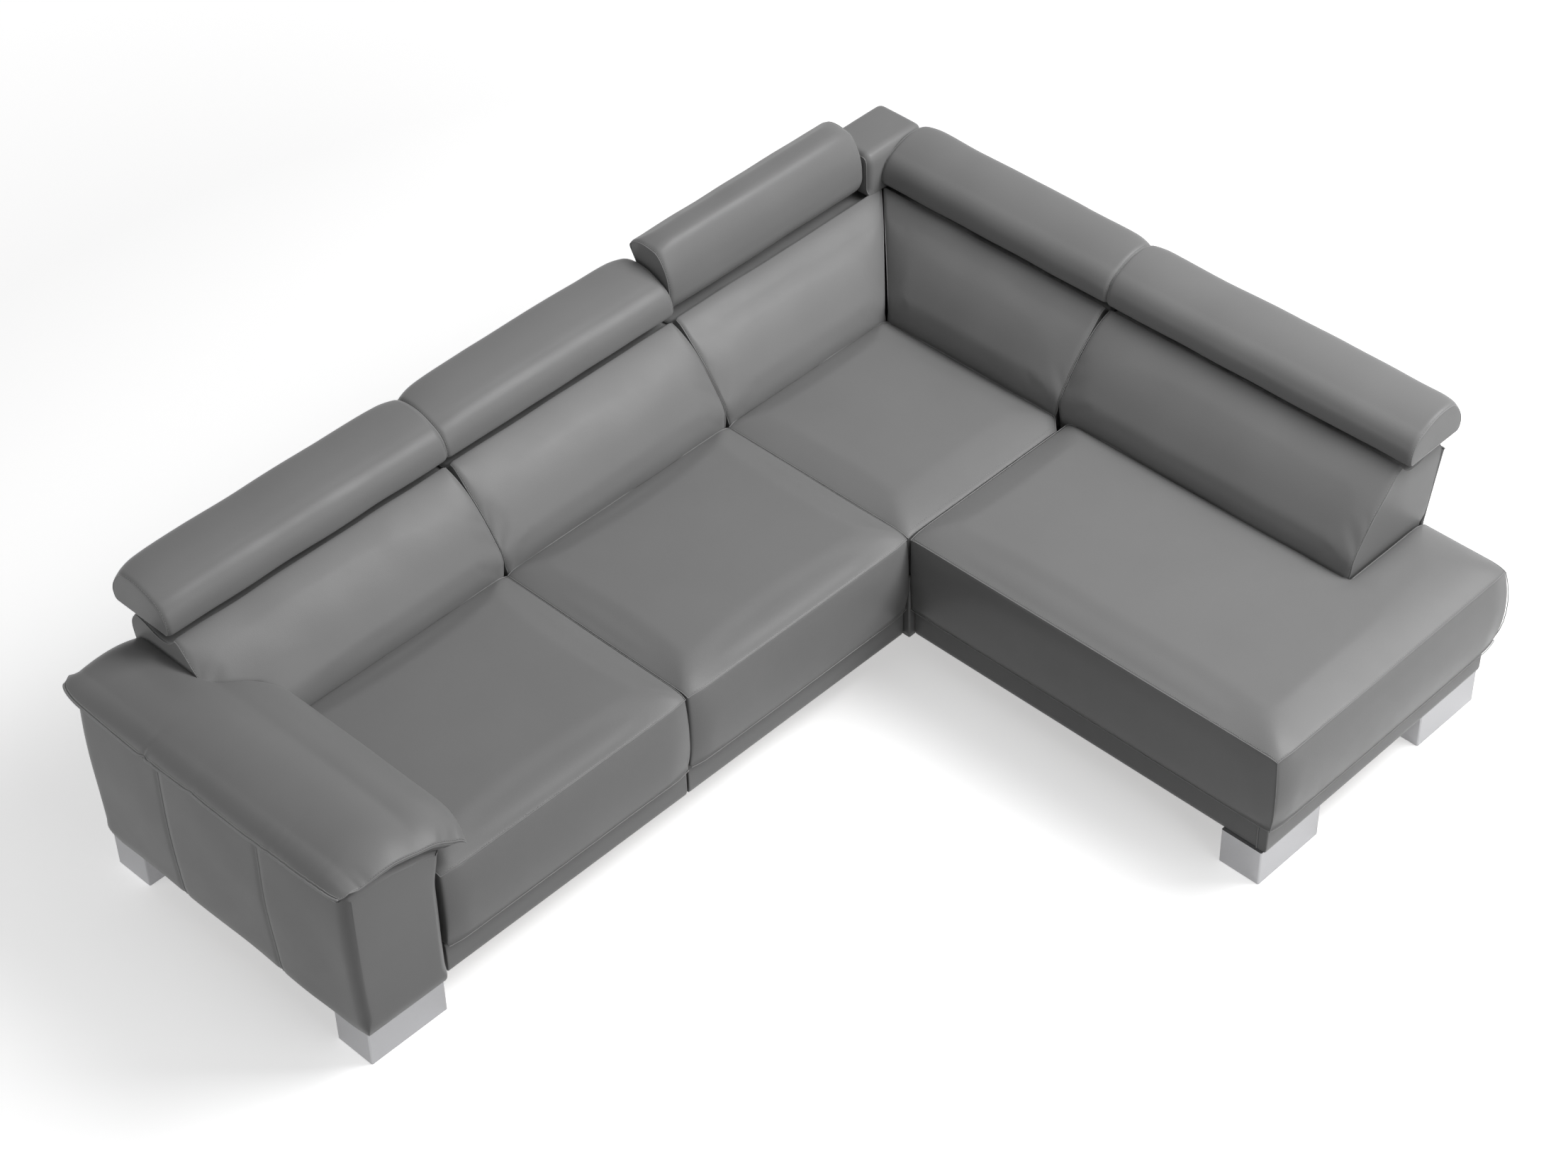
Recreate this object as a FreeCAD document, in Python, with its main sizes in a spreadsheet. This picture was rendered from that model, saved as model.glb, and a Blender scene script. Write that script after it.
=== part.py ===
import FreeCAD, Part
import math
import os
import re
import Sketcher

# A leather corner sofa. A long side of two seats and a square corner seat runs along X, and a lounger
# with an open end comes forward from the corner. Five headrests tilt up on ratchet hinges.
# X runs from the arm to the corner, Y from the front to the back, and Z up. Millimetres.

SIZES = {
    # plan, from the arm to the back of the short side
    "pad_overhang": 30,
    "arm_width": 258,
    "arm_gap": 7,
    "seat_1_width": 761,
    "seat_2_width": 751,
    "corner_width": 584,
    "back_reach": 374,
    # plan, from the lounger's front to the back of the long side
    "front_bulge": 10,
    "lounger_length": 1112,
    "lounger_inset": 1,
    "seat_depth": 616,
    # levels
    "foot_height": 104,
    "panel_top": 196,
    "frame_top": 292,
    "webbing_thickness": 2.5,
    "seat_seam": 430,
    "seat_crown": 15,
    # seats
    "seat_gap": 2,
    "fall_depth": 45,
    "fall_tuck": 5,
    "seat_roll": 18,
    "seat_rear_rise": 6,
    "end_draw": 9,
    "edge_length": 45,
    "foam_cover": 22,
    "foam_margin": 32,
    "corner_bevel": 34,
    # base panels
    "panel_recess": 17,
    "panel_gap": 2,
    "panel_round": 6,
    # base frames
    "board_thickness": 22,
    "slat_pitch": 235,
    "rear_depth": 289,
    "module_gap": 4,
    "foot_block_height": 30,
    "strap_width": 60,
    "strap_pitch": 118,
    "connector_width": 60,
    "connector_height": 80,
    "first_connector_share": 0.2,
    "second_connector_share": 0.8,
    # backs, from the line where a back meets its seat: each point's run and rise from the one below
    "back_seat_rise": 16,
    "lumbar_bulge": 9,
    "lumbar_rise": 22,
    "waist_setback": 8,
    "waist_rise": 47,
    "slope_run": 64,
    "slope_rise": 79,
    "roll_run": 74,
    "roll_rise": 66,
    "top_run": 36,
    "top_rise": 10,
    "rear_lean": 50,
    "rear_top_drop": 34,
    "rear_slope_height": 206,
    "rear_round": 30,
    "rear_panel_thickness": 6,
    "rear_panel_bottom": 110,
    "back_draw": 10,
    "back_front_foam": 72,
    "back_top_foam": 25,
    "back_end_foam": 16,
    "wing_length": 68,
    "cheek_pitch": 290,
    "back_5_length": 905,
    "back_4_end": 581,
    # headrests, folded, as runs and rises from the backs' tops
    "pivot_run": 49,
    "pivot_rise": 63,
    "nose_radius": 60,
    "rest_rise": 18,
    "rest_height": 116,
    "rest_draw_share": 0.09,
    "rest_edge_length": 34,
    "rest_gap": 4,
    "rest_1_wing": 73,
    "rest_3_length": 697,
    "rest_4_start": 169,
    "rest_5_end": 25,
    "raised_angle": 62,
    # hinges
    "hinge_place_share": 0.3333,
    "plate_thickness": 4,
    "ratchet_radius": 20,
    "bolt_radius": 5,
    "nut_radius": 9,
    "nut_height": 5,
    "running_gap": 0.3,
    "bolt_play": 0.05,
    "strip_width": 18,
    "strip_lean": 40,
    "strip_depth": 95,
    "strip_knee_drop": 9,
    "rest_board_rise": 12,
    "rest_board_thickness": 18,
    "rest_board_width": 92,
    "rest_board_margin": 42,
    "pocket_play": 3,
    "flange_width": 26,
    "flange_length": 62,
    # arm, across it from its outer face, and heights
    "arm_front_reach": 5,
    "arm_rear_depth": 317,
    "arm_bottom_inset": 12,
    "arm_bulge": 7,
    "arm_waist_height": 424,
    "arm_flare": 25,
    "arm_flare_rise": 88,
    "arm_inner_rise": 24,
    "arm_crest_rise": 36,
    "arm_outer_drop": 10,
    "arm_wall": 26,
    "arm_top_wall": 31,
    # arm pad
    "pad_thickness": 48,
    "pad_skirt_drop": 22,
    "pad_reach": 350,
    "pad_front_reach": 28,
    "pad_rear_reach": 22,
    "soft_gap": 0.4,
    "back_clearance": 3,
    # corner pad and post
    "corner_pad_gap": 8,
    "corner_pad_height": 130,
    "corner_pad_inset": 9,
    "corner_pad_bevel": 14,
    "corner_post_side": 60,
    # feet
    "foot_length": 225,
    "foot_width": 117,
    "foot_round": 4,
    "foot_wall": 3,
    "foot_inset": 17,
    "foot_front_inset": 14,
    "foot_rear_inset": 10,
    "lounger_foot_inset": 11,
    "lounger_foot_front_inset": 25,
    "support_side": 46,
    "lounger_support_share": 0.8,
    "screw_radius": 4,
    "screw_head_radius": 8,
    "screw_head_height": 5,
    "screw_length": 28,
    "screw_hole_radius": 4.6,
    # one reach past the edge for every cut
    "overrun": 20,
}

LAYOUT = {
    "overall_width": "pad_overhang + arm_width + seat_1_width + seat_2_width + corner_width + back_reach",
    "overall_depth": "front_bulge + lounger_length + seat_depth + back_reach",
    "arm_left": "pad_overhang - overall_width / 2",
    "seat_1_left": "arm_left + arm_width",
    "seat_2_left": "seat_1_left + seat_1_width",
    "corner_left": "seat_2_left + seat_2_width",
    "side_line": "corner_left + corner_width",
    "lounger_width": "corner_width + rear_depth - lounger_inset",
    "lounger_right": "corner_left + lounger_width",
    "lounger_front": "front_bulge - overall_depth / 2",
    "seat_front": "lounger_front + lounger_length",
    "back_line": "seat_front + seat_depth",
    "rear_line": "back_line + rear_depth",
    "cushion_base": "frame_top + webbing_thickness",
    "frame_height": "frame_top - foot_height",
    "rear_inner": "rear_depth - rear_panel_thickness",
    "seat_rear_height": "seat_seam + seat_rear_rise",
    "foam_top": "seat_seam - foam_cover",
    "back_seat_height": "seat_seam + back_seat_rise",
    "lumbar_height": "back_seat_height + lumbar_rise",
    "waist_height": "lumbar_height + waist_rise",
    "slope_setback": "waist_setback + slope_run",
    "slope_height": "waist_height + slope_rise",
    "roll_setback": "slope_setback + roll_run",
    "roll_height": "slope_height + roll_rise",
    "top_setback": "roll_setback + top_run",
    "back_top": "roll_height + top_rise",
    "rear_top_setback": "rear_depth + rear_lean",
    "rear_top_height": "back_top - rear_top_drop",
    "rear_knee_height": "rear_top_height - rear_slope_height",
    "pivot_setback": "top_setback + pivot_run",
    "pivot_height": "back_top + pivot_rise",
    "rest_bottom": "back_top + rest_rise",
    "rest_top": "rest_bottom + rest_height",
    "rest_board_height": "pivot_height + rest_board_rise",
    "strip_foot_height": "back_top - strip_depth",
    "corner_pad_top": "back_top + corner_pad_height",
    "arm_flare_height": "arm_waist_height + arm_flare_rise",
    "arm_top_inner": "arm_flare_height + arm_inner_rise",
    "arm_top_crest": "arm_top_inner + arm_crest_rise",
    "arm_top_outer": "arm_top_crest - arm_outer_drop",
    "arm_frame_top": "arm_top_inner - arm_top_wall",
    "pad_skirt": "arm_top_crest - pad_skirt_drop",
    "arm_rear": "back_line + arm_rear_depth",
    "back_5_start": "back_4_end",
    "back_5_end": "back_5_start + back_5_length",
    "long_frame_length": "corner_left - seat_1_left - module_gap / 2",
}

doc = FreeCAD.newDocument("corner_sofa")
size = doc.addObject("Spreadsheet::Sheet", "size")
for row, (name, value) in enumerate(SIZES.items(), 1):
    size.set(f"A{row}", name)
    size.set(f"B{row}", str(value))
    size.setAlias(f"B{row}", name)
layout = doc.addObject("App::VarSet", "layout")
doc.recompute()


def bound(text):
    """The expression with each name led by the object that holds it."""

    def led(word):
        name = word.group()
        return ("size." if name in SIZES else "layout.") + name

    return re.sub(r"[a-z]\w*", led, text)


for name, text in LAYOUT.items():
    layout.addProperty("App::PropertyFloat", name)
    layout.setExpression(name, bound(text))
doc.recompute()


class Values:
    """Reads a size from the sheet, or a place from the layout, by its name."""

    def __getattr__(self, name):
        if name in SIZES:
            return float(size.get(name))
        return float(getattr(layout, name))


v = Values()
parts = []
UP = FreeCAD.Vector(0, 0, 1)
ALONG = FreeCAD.Vector(1, 0, 0)
ACROSS = FreeCAD.Vector(0, 1, 0)


def keep(piece, label):
    """Counts an object as one of the sofa's sub-parts, under its own name."""
    piece.Label = label
    parts.append(piece)
    return piece


def feature(label, shape, placement=None):
    """A sub-part whose form only lofts and swept outlines give."""
    piece = doc.addObject("Part::Feature", label)
    piece.Shape = shape
    if placement:
        piece.Placement = placement
    return keep(piece, label)


def board(name, x, y, z, length, width, height):
    """A straight board, each of its values an expression on the sizes."""
    piece = doc.addObject("Part::Box", name)
    for value, text in {"Length": length, "Width": width, "Height": height}.items():
        piece.setExpression(value, bound(text))
    for axis, text in {"x": x, "y": y, "z": z}.items():
        piece.setExpression("Placement.Base." + axis, bound(text))
    return piece


def joined(label, pieces):
    """One sub-part glued up from several boards."""
    whole = doc.addObject("Part::MultiFuse", label + "_joined")
    whole.Shapes = pieces
    whole.Refine = True
    return keep(whole, label)


def outline(start, steps, place):
    """A closed wire. Each step is a point, or a point on an arc and the arc's end."""
    edges = []
    here = place(*start)
    for step in steps:
        if isinstance(step[0], tuple):
            via, end = (place(*point) for point in step)
            edges.append(Part.Arc(here, via, end).toShape())
        else:
            end = place(*step)
            edges.append(Part.LineSegment(here, end).toShape())
        here = end
    return Part.Wire(edges)


def at_x(x):
    return lambda y, z: FreeCAD.Vector(x, y, z)


def at_y(y):
    return lambda x, z: FreeCAD.Vector(x, y, z)


def at_z(z):
    return lambda x, y: FreeCAD.Vector(x, y, z)


def prism(start, steps, place, length):
    """A solid of one outline, carried straight along the given vector."""
    return Part.Face(outline(start, steps, place)).extrude(length)


def block(low, high):
    """A box between two corners."""
    return Part.makeBox(*(b - a for a, b in zip(low, high)), FreeCAD.Vector(*low))


def upright_edges(shape):
    """The numbers of a shape's edges that run straight up."""
    return [i for i, edge in enumerate(shape.Edges, 1) if abs(edge.tangentAt(edge.FirstParameter).z) > 0.9]


def soft(wires):
    """A padded form through its outlines."""
    return Part.makeLoft(wires, True, True)


# Along a soft piece: places as shares of its rounded edge, and how far it is drawn in there, from 1
# at its end to 0 in its middle.
EDGE_SHARES = [(0, 1), (0.36, 0.4), (1, 0.1)]


def stations(length, edge):
    """Places along a crowned piece, each with how far it is drawn in."""
    near = [(edge * share, draw) for share, draw in EDGE_SHARES]
    return near + [(length / 2, 0)] + [(length - place, draw) for place, draw in reversed(near)]


def padded(section, length, edge, along, plain_side=""):
    """A soft piece of one section, drawn in at its rounded ends, with one end plain if it is named."""
    near = [(edge * share, draw) for share, draw in EDGE_SHARES]
    start = 0 if plain_side == "start" else edge
    stop = length if plain_side == "end" else length - edge
    pieces = [Part.Face(section(start, near[-1][1])).extrude(along * (stop - start))]
    if plain_side != "start":
        pieces.append(soft([section(place, draw) for place, draw in near]))
    if plain_side != "end":
        pieces.append(soft([section(length - place, draw) for place, draw in near]))
    return pieces[0].multiFuse(pieces[1:])


# Seats


def seat_form(width, depth, front):
    """A seat cushion across its width. It hangs over the frame's front rail, or stops there."""
    wires = []
    for x, draw in stations(width, v.edge_length):
        seam = v.seat_seam - v.end_draw * draw
        nose = v.end_draw * draw / 2
        crown = seam + v.seat_crown * (1 - draw / 2)
        rear = v.seat_rear_height - v.end_draw * draw
        roll = v.seat_roll
        corner = roll * (1 - math.sqrt(0.5))
        middle = (v.panel_top + seam) / 2
        start = (v.fall_depth, v.panel_top)
        steps = [(nose + v.fall_tuck, v.panel_top)]
        if front == "plain":
            start = (v.fall_depth, v.cushion_base)
            steps = [(nose + v.fall_tuck, v.cushion_base)]
            middle = (v.cushion_base + seam) / 2
        bulge = v.front_bulge * (1 - draw) / (1 if front == "fall" else 4)
        steps += [
            ((nose - bulge, middle), (nose, seam - roll)),
            ((nose + corner, seam - corner), (nose + roll, seam)),
            ((depth / 2, crown), (depth, rear)),
            (depth, v.cushion_base),
        ]
        if front == "fall":
            steps.append((v.fall_depth, v.cushion_base))
        steps.append(start)
        wires.append(outline(start, steps, at_x(x)))
    return soft(wires)


def foam_block(label, x, y, length, width):
    """The foam core of a seat, which stands on the webbing."""
    height = "foam_top - cushion_base"
    return keep(board(label, x, y, "cushion_base", length, width, height), label)


def seat(number, left, width):
    """One seat of the long side: its cover with wadding, and its foam core."""
    wide = getattr(v, width) - v.seat_gap
    depth = v.seat_depth - v.seat_gap
    form = seat_form(wide, depth, "fall")
    low = (v.foam_margin, v.fall_depth + v.foam_margin, v.cushion_base - v.overrun)
    high = (wide - v.foam_margin, depth - v.foam_margin, v.foam_top)
    cover = form.cut(block(low, high))
    place = FreeCAD.Vector(getattr(v, left) + v.seat_gap / 2, v.seat_front, 0)
    feature(f"seat_cover_{number}", cover, FreeCAD.Placement(place, FreeCAD.Rotation()))
    foam_block(
        f"seat_foam_{number}",
        f"{left} + seat_gap / 2 + foam_margin",
        "seat_front + fall_depth + foam_margin",
        f"{width} - seat_gap - 2 * foam_margin",
        "seat_depth - seat_gap - fall_depth - 2 * foam_margin",
    )


def corner_seat():
    """The square seat in the corner, bevelled where the short side's backs part."""
    wide = v.corner_width - v.seat_gap
    depth = v.seat_depth - v.front_bulge - v.seat_gap
    form = seat_form(wide, depth, "plain")
    bevel = v.corner_bevel
    past = wide + v.overrun
    start = (wide - bevel, -v.overrun)
    steps = [(past, -v.overrun), (past, bevel), (wide, bevel), (wide - bevel, 0), start]
    corner = prism(start, steps, at_z(0), UP * 2 * v.seat_seam)
    low = (v.foam_margin, v.foam_margin, v.cushion_base - v.overrun)
    high = (wide - v.foam_margin - bevel, depth - v.foam_margin, v.foam_top)
    cover = form.cut(corner).cut(block(low, high))
    place = FreeCAD.Vector(v.corner_left + v.seat_gap / 2, v.seat_front + v.front_bulge, 0)
    feature("seat_cover_corner", cover, FreeCAD.Placement(place, FreeCAD.Rotation()))
    foam_block(
        "seat_foam_corner",
        "corner_left + seat_gap / 2 + foam_margin",
        "seat_front + front_bulge + foam_margin",
        "corner_width - seat_gap - 2 * foam_margin - corner_bevel",
        "seat_depth - front_bulge - seat_gap - 2 * foam_margin",
    )


def lounger_seat():
    """The long seat with the open end: it passes in front of back 5 and round its end."""
    wide = v.lounger_width
    long = v.lounger_length
    wires = []
    roll = v.seat_roll
    corner = roll * (1 - math.sqrt(0.5))
    tuck = v.fall_tuck
    for y, draw in stations(long + v.front_bulge, v.edge_length):
        bulge = v.front_bulge * (1 - draw)
        seam = v.seat_seam - v.end_draw * draw
        middle = (v.panel_top + seam) / 2
        crown = seam + v.seat_crown * (1 - draw / 2)
        start = (tuck, v.panel_top)
        steps = [
            ((-bulge, middle), (0, seam - roll)),
            ((corner, seam - corner), (roll, seam)),
            ((wide / 2, crown), (wide - roll, seam)),
            ((wide - corner, seam - corner), (wide, seam - roll)),
            ((wide + bulge, middle), (wide - tuck, v.panel_top)),
            start,
        ]
        wires.append(outline(start, steps, at_y(y - v.front_bulge)))
    form = soft(wires)
    bulge = v.front_bulge
    top = v.seat_seam + v.seat_crown + v.overrun
    middle = (v.panel_top + v.seat_seam) / 2
    start = (tuck, v.panel_top)
    steps = [
        ((-bulge, middle), (0, v.seat_seam)),
        (0, top),
        (long, top),
        (long, v.panel_top),
        start,
    ]
    front = prism(start, steps, at_x(-2 * bulge), ALONG * (wide + 4 * bulge))
    form = form.common(front)
    fall = v.fall_depth
    end = long - (v.back_5_end - v.seat_depth)
    behind = block((v.corner_width - v.seat_gap / 2, end, 0), (wide + v.overrun, long + v.overrun, top))
    under = block((fall, fall, 0), (wide - fall, long + v.overrun, v.cushion_base))
    margin = fall + v.foam_margin
    low = (margin, margin, v.cushion_base - v.overrun)
    high = (v.corner_width - v.foam_margin, long - v.foam_margin, v.foam_top)
    cover = form.cut(behind).cut(under).cut(block(low, high))
    place = FreeCAD.Vector(v.corner_left, v.lounger_front, 0)
    feature("seat_cover_lounger", cover, FreeCAD.Placement(place, FreeCAD.Rotation()))
    foam_block(
        "seat_foam_lounger",
        "corner_left + fall_depth + foam_margin",
        "lounger_front + fall_depth + foam_margin",
        "corner_width - 2 * foam_margin - fall_depth",
        "lounger_length - fall_depth - 2 * foam_margin",
    )


# Base frames, panels and webbing


def ladder(name, x, y, length, width, along):
    """A frame of two rails with slats between them, close enough to carry a seat."""
    thick = "board_thickness"
    slats = {
        "left": (x, y, thick, width),
        "right": (f"{x} + {length} - {thick}", y, thick, width),
        "front": (x, y, length, thick),
        "rear": (x, f"{y} + {width} - {thick}", length, thick),
    }
    bays = bay_count(length if along == "x" else width)
    for number in range(1, bays):
        if along == "x":
            place = (f"{x} + ({length} - {thick}) * {number} / {bays}", y, thick, width)
        else:
            place = (x, f"{y} + ({width} - {thick}) * {number} / {bays}", length, thick)
        slats[f"slat_{number}"] = place
    pieces = []
    for side, (left, near, long, deep) in slats.items():
        pieces.append(board(f"{name}_{side}", left, near, "foot_height", long, deep, "frame_height"))
    return pieces


def bay_count(span):
    """How many bays a frame's slats part a span into."""
    return math.ceil(layout_value(span) / v.slat_pitch)


def layout_value(text):
    """What an expression on the sizes comes to."""
    probe = "probe"
    if probe not in layout.PropertiesList:
        layout.addProperty("App::PropertyFloat", probe)
    layout.setExpression(probe, bound(text))
    layout.recompute()
    return float(layout.probe)


def foot_block(name, x, y, length, width):
    return board(name, x, y, "foot_height", length, width, "foot_block_height")


def base_frames():
    half_gap = "module_gap / 2"
    long_width = "seat_depth + rear_inner - fall_depth"
    long_y = "seat_front + fall_depth"
    long_frame = ladder("long", "seat_1_left", long_y, "long_frame_length", long_width, "x")
    joined("base_frame_long", long_frame)

    corner_length = f"corner_width + rear_inner - {half_gap}"
    corner_y = f"seat_front + {half_gap}"
    corner_width = f"seat_depth + rear_inner - {half_gap}"
    corner = ladder("corner", f"corner_left + {half_gap}", corner_y, corner_length, corner_width, "y")
    corner.append(
        foot_block(
            "corner_foot_block",
            "side_line + rear_inner - board_thickness - foot_length",
            "back_line + rear_inner - board_thickness - foot_width",
            "foot_length",
            "foot_width",
        )
    )
    joined("base_frame_corner", corner)

    left = "corner_left + fall_depth"
    front = "lounger_front + fall_depth"
    length = "lounger_width - 2 * fall_depth"
    width = f"lounger_length - fall_depth - {half_gap}"
    lounger = ladder("lounger", left, front, length, width, "y")
    block_length = "foot_length + foot_inset - fall_depth"
    block_width = "foot_width + foot_inset - fall_depth"
    lounger.append(foot_block("left_foot_block", left, front, block_length, block_width))
    right_x = f"lounger_right - fall_depth - ({block_length})"
    lounger.append(foot_block("right_foot_block", right_x, front, block_length, block_width))
    outer_length = "fall_depth - rear_panel_thickness - module_gap"
    back_end = "back_line - back_5_end"
    outer_width = f"back_5_end - seat_depth - {half_gap}"
    lounger.append(
        board(
            "lounger_outer",
            "lounger_right - fall_depth",
            back_end,
            "foot_height",
            outer_length,
            outer_width,
            "frame_height",
        )
    )
    joined("base_frame_lounger", lounger)


def panel(label, x, y, length, width):
    """A padded board below the cushions."""
    height = "panel_top - foot_height - panel_gap"
    plain = board(label + "_board", x, y, "foot_height", length, width, height)
    doc.recompute()
    rounds = doc.addObject("Part::Fillet", label + "_rounds")
    rounds.Base = plain
    radius = v.panel_round
    rounds.Edges = [(i, radius, radius) for i in upright_edges(plain.Shape)]
    return keep(rounds, label)


def base_panels():
    depth = "fall_depth - panel_recess"
    front = "seat_front + panel_recess"
    for number in (1, 2):
        left = f"seat_{number}_left + panel_gap"
        panel(f"base_panel_{number}", left, front, f"seat_{number}_width - 2 * panel_gap", depth)
    lounger_depth = "lounger_length - fall_depth"
    side_y = "lounger_front + fall_depth"
    panel("base_panel_lounger_left", "corner_left + panel_recess", side_y, depth, lounger_depth)
    panel(
        "base_panel_lounger_front",
        "corner_left + panel_recess",
        "lounger_front + panel_recess",
        "lounger_width - 2 * panel_recess",
        depth,
    )
    right_width = "lounger_length - fall_depth - (back_5_end - seat_depth) - panel_gap"
    panel("base_panel_lounger_right", "lounger_right - fall_depth", side_y, depth, right_width)


def webbing():
    """Elastic straps stretched over the frames, under the foam."""
    straps = []
    low = v.frame_top
    high = v.cushion_base

    def row(start, end, strap):
        count = max(2, round((end - start) / v.strap_pitch))
        for number in range(count):
            middle = start + (end - start) * (number + 0.5) / count
            straps.append(strap(middle - v.strap_width / 2, middle + v.strap_width / 2))

    front = v.seat_front + v.fall_depth
    rear = v.back_line
    row(v.seat_1_left, v.corner_left, lambda a, b: block((a, front, low), (b, rear, high)))
    row(
        v.corner_left + v.module_gap,
        v.side_line,
        lambda a, b: block((a, v.seat_front + v.module_gap, low), (b, rear, high)),
    )
    left = v.corner_left + v.fall_depth
    lounger_front = v.lounger_front + v.fall_depth
    row(lounger_front, v.seat_front, lambda a, b: block((left, a, low), (v.side_line, b, high)))
    feature("seat_webbing", Part.makeCompound(straps))


def module_connectors():
    """Steel plates that hook the modules together, between their end rails."""
    plates = []
    half_gap = v.module_gap / 2
    low = v.foot_height + v.connector_height / 2
    high = low + v.connector_height
    for share in (v.first_connector_share, v.second_connector_share):
        y = v.seat_front + v.seat_depth * share
        far_y = y + v.connector_width
        plates.append(block((v.seat_1_left - v.arm_gap, y, low), (v.seat_1_left, far_y, high)))
        plates.append(
            block(
                (v.corner_left - half_gap, y, low),
                (v.corner_left + half_gap, y + v.connector_width, high),
            )
        )
        x = v.corner_left + v.fall_depth + (v.lounger_width - 2 * v.fall_depth) * share
        plates.append(
            block(
                (x, v.seat_front - half_gap, low),
                (x + v.connector_width, v.seat_front + half_gap, high),
            )
        )
    feature("module_connectors", Part.makeCompound(plates))


# Backs. A back is drawn along X, with Y as the setback from the line where it meets its seat. The
# long side's X is the sofa's own. The short side is turned by a quarter about Z, and its X runs from
# the corner to the open end.


def long_side():
    return FreeCAD.Placement(FreeCAD.Vector(0, v.back_line, 0), FreeCAD.Rotation())


def short_side():
    return FreeCAD.Placement(FreeCAD.Vector(v.side_line, v.back_line, 0), FreeCAD.Rotation(UP, -90))


def back_outline(pull, drop, bottom):
    """A back from the side, pulled in from its front and dropped from its top."""
    round_via = v.rear_round * (1 - math.sqrt(0.5))
    start = (pull, bottom)
    steps = [
        (pull, v.back_seat_height),
        ((pull - v.lumbar_bulge, v.lumbar_height), (v.waist_setback + pull, v.waist_height)),
        ((v.slope_setback + pull, v.slope_height), (v.roll_setback + pull, v.roll_height - drop)),
        (v.top_setback + pull, v.back_top - drop),
        (v.rear_top_setback - v.rear_round, v.back_top - drop),
        (
            (v.rear_top_setback - round_via, v.back_top - drop - round_via),
            (v.rear_top_setback, v.rear_top_height),
        ),
        (v.rear_inner, v.rear_knee_height),
        (v.rear_inner, bottom),
        start,
    ]
    return start, steps


def back_front(gap):
    """In front of a back, clear of it by a gap, in straight runs."""
    start = (-v.lumbar_bulge - gap, v.cushion_base)
    steps = [
        (-v.lumbar_bulge - gap, v.waist_height),
        (v.slope_setback - gap, v.slope_height + gap),
        (v.roll_setback - gap, v.roll_height + gap),
        (v.rear_top_setback, v.back_top + gap),
        (v.rear_top_setback, v.cushion_base),
        start,
    ]
    return start, steps


def back_core():
    """The space behind a back's foam, open below and to the rear."""
    foam = v.back_front_foam
    bottom = v.cushion_base - v.overrun
    rear = v.rear_top_setback + v.overrun
    start = (foam, bottom)
    steps = core_front() + [(rear, v.back_top - v.back_top_foam), (rear, bottom), start]
    return start, steps


def core_front():
    """The inside of a back's foam, from its waist up to its top."""
    foam = v.back_front_foam
    top = v.back_top - v.back_top_foam
    return [
        (foam, v.waist_height),
        (v.slope_setback + foam, v.slope_height),
        (v.roll_setback + foam, top),
    ]


def mitre(sign, corner):
    """What lies past the 45 degree plane in which the long and the short side's backs meet."""
    gap = v.seat_gap / 2
    near = -v.overrun
    far = v.back_reach + v.overrun
    start = (corner + sign * (near - gap), near)
    steps = [
        (corner + sign * (far - gap), far),
        (corner + sign * 3 * far, far),
        (corner + sign * 3 * far, near),
        start,
    ]
    return prism(start, steps, at_z(0), UP * 2 * v.back_top)


def hinge_places(start, end):
    """Where a headrest's two hinges stand, each beside a cheek of the back's frame."""
    share = v.hinge_place_share
    return [start + (end - start) * share, end - (end - start) * share]


def back_cushion(number, span, core, hinges, placement, cut, plain_side):
    """The leather and foam of a back: hollow behind its foam, with a slot for each hinge plate."""
    start, end = span

    def section(x, draw):
        pull = v.back_draw * draw
        return outline(*back_outline(pull, pull / 2, v.cushion_base), at_x(start + x))

    form = padded(section, end - start, v.edge_length, ALONG, plain_side)
    first, steps = back_core()
    form = form.cut(prism(first, steps, at_x(core[0]), ALONG * (core[1] - core[0])))
    half = v.strip_width / 2
    slot_front = strip_setback(v.back_top) - half / math.cos(math.radians(v.strip_lean)) - v.pocket_play
    slot_rear = strip_setback(v.back_top - v.strip_knee_drop) + half + v.pocket_play
    slot_low = v.back_top - v.back_top_foam - v.overrun
    for x in hinges:
        low = (x - v.pocket_play, slot_front, slot_low)
        high = (x + v.plate_thickness + v.pocket_play, slot_rear, v.back_top + v.overrun)
        form = form.cut(block(low, high))
    if cut:
        form = form.cut(cut)
    feature(f"back_cushion_{number}", form, placement)


def rear_setback(height):
    """How far back the inside of the rear panel stands at a height above its knee."""
    rise_share = (height - v.rear_knee_height) / (v.rear_top_height - v.rear_knee_height)
    return v.rear_inner + rise_share * (v.rear_top_setback - v.rear_inner)


def cheek_places(first, last, hinges):
    """Where a frame's upright boards start: at its ends, beside the hinges, and between if far apart."""
    thick = v.board_thickness
    main = [first] + [x - thick for x in hinges] + [last - thick]
    places = main[:1]
    for left, right in zip(main, main[1:]):
        if right - left > v.cheek_pitch:
            places.append((left + right) / 2)
        places.append(right)
    return places


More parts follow.
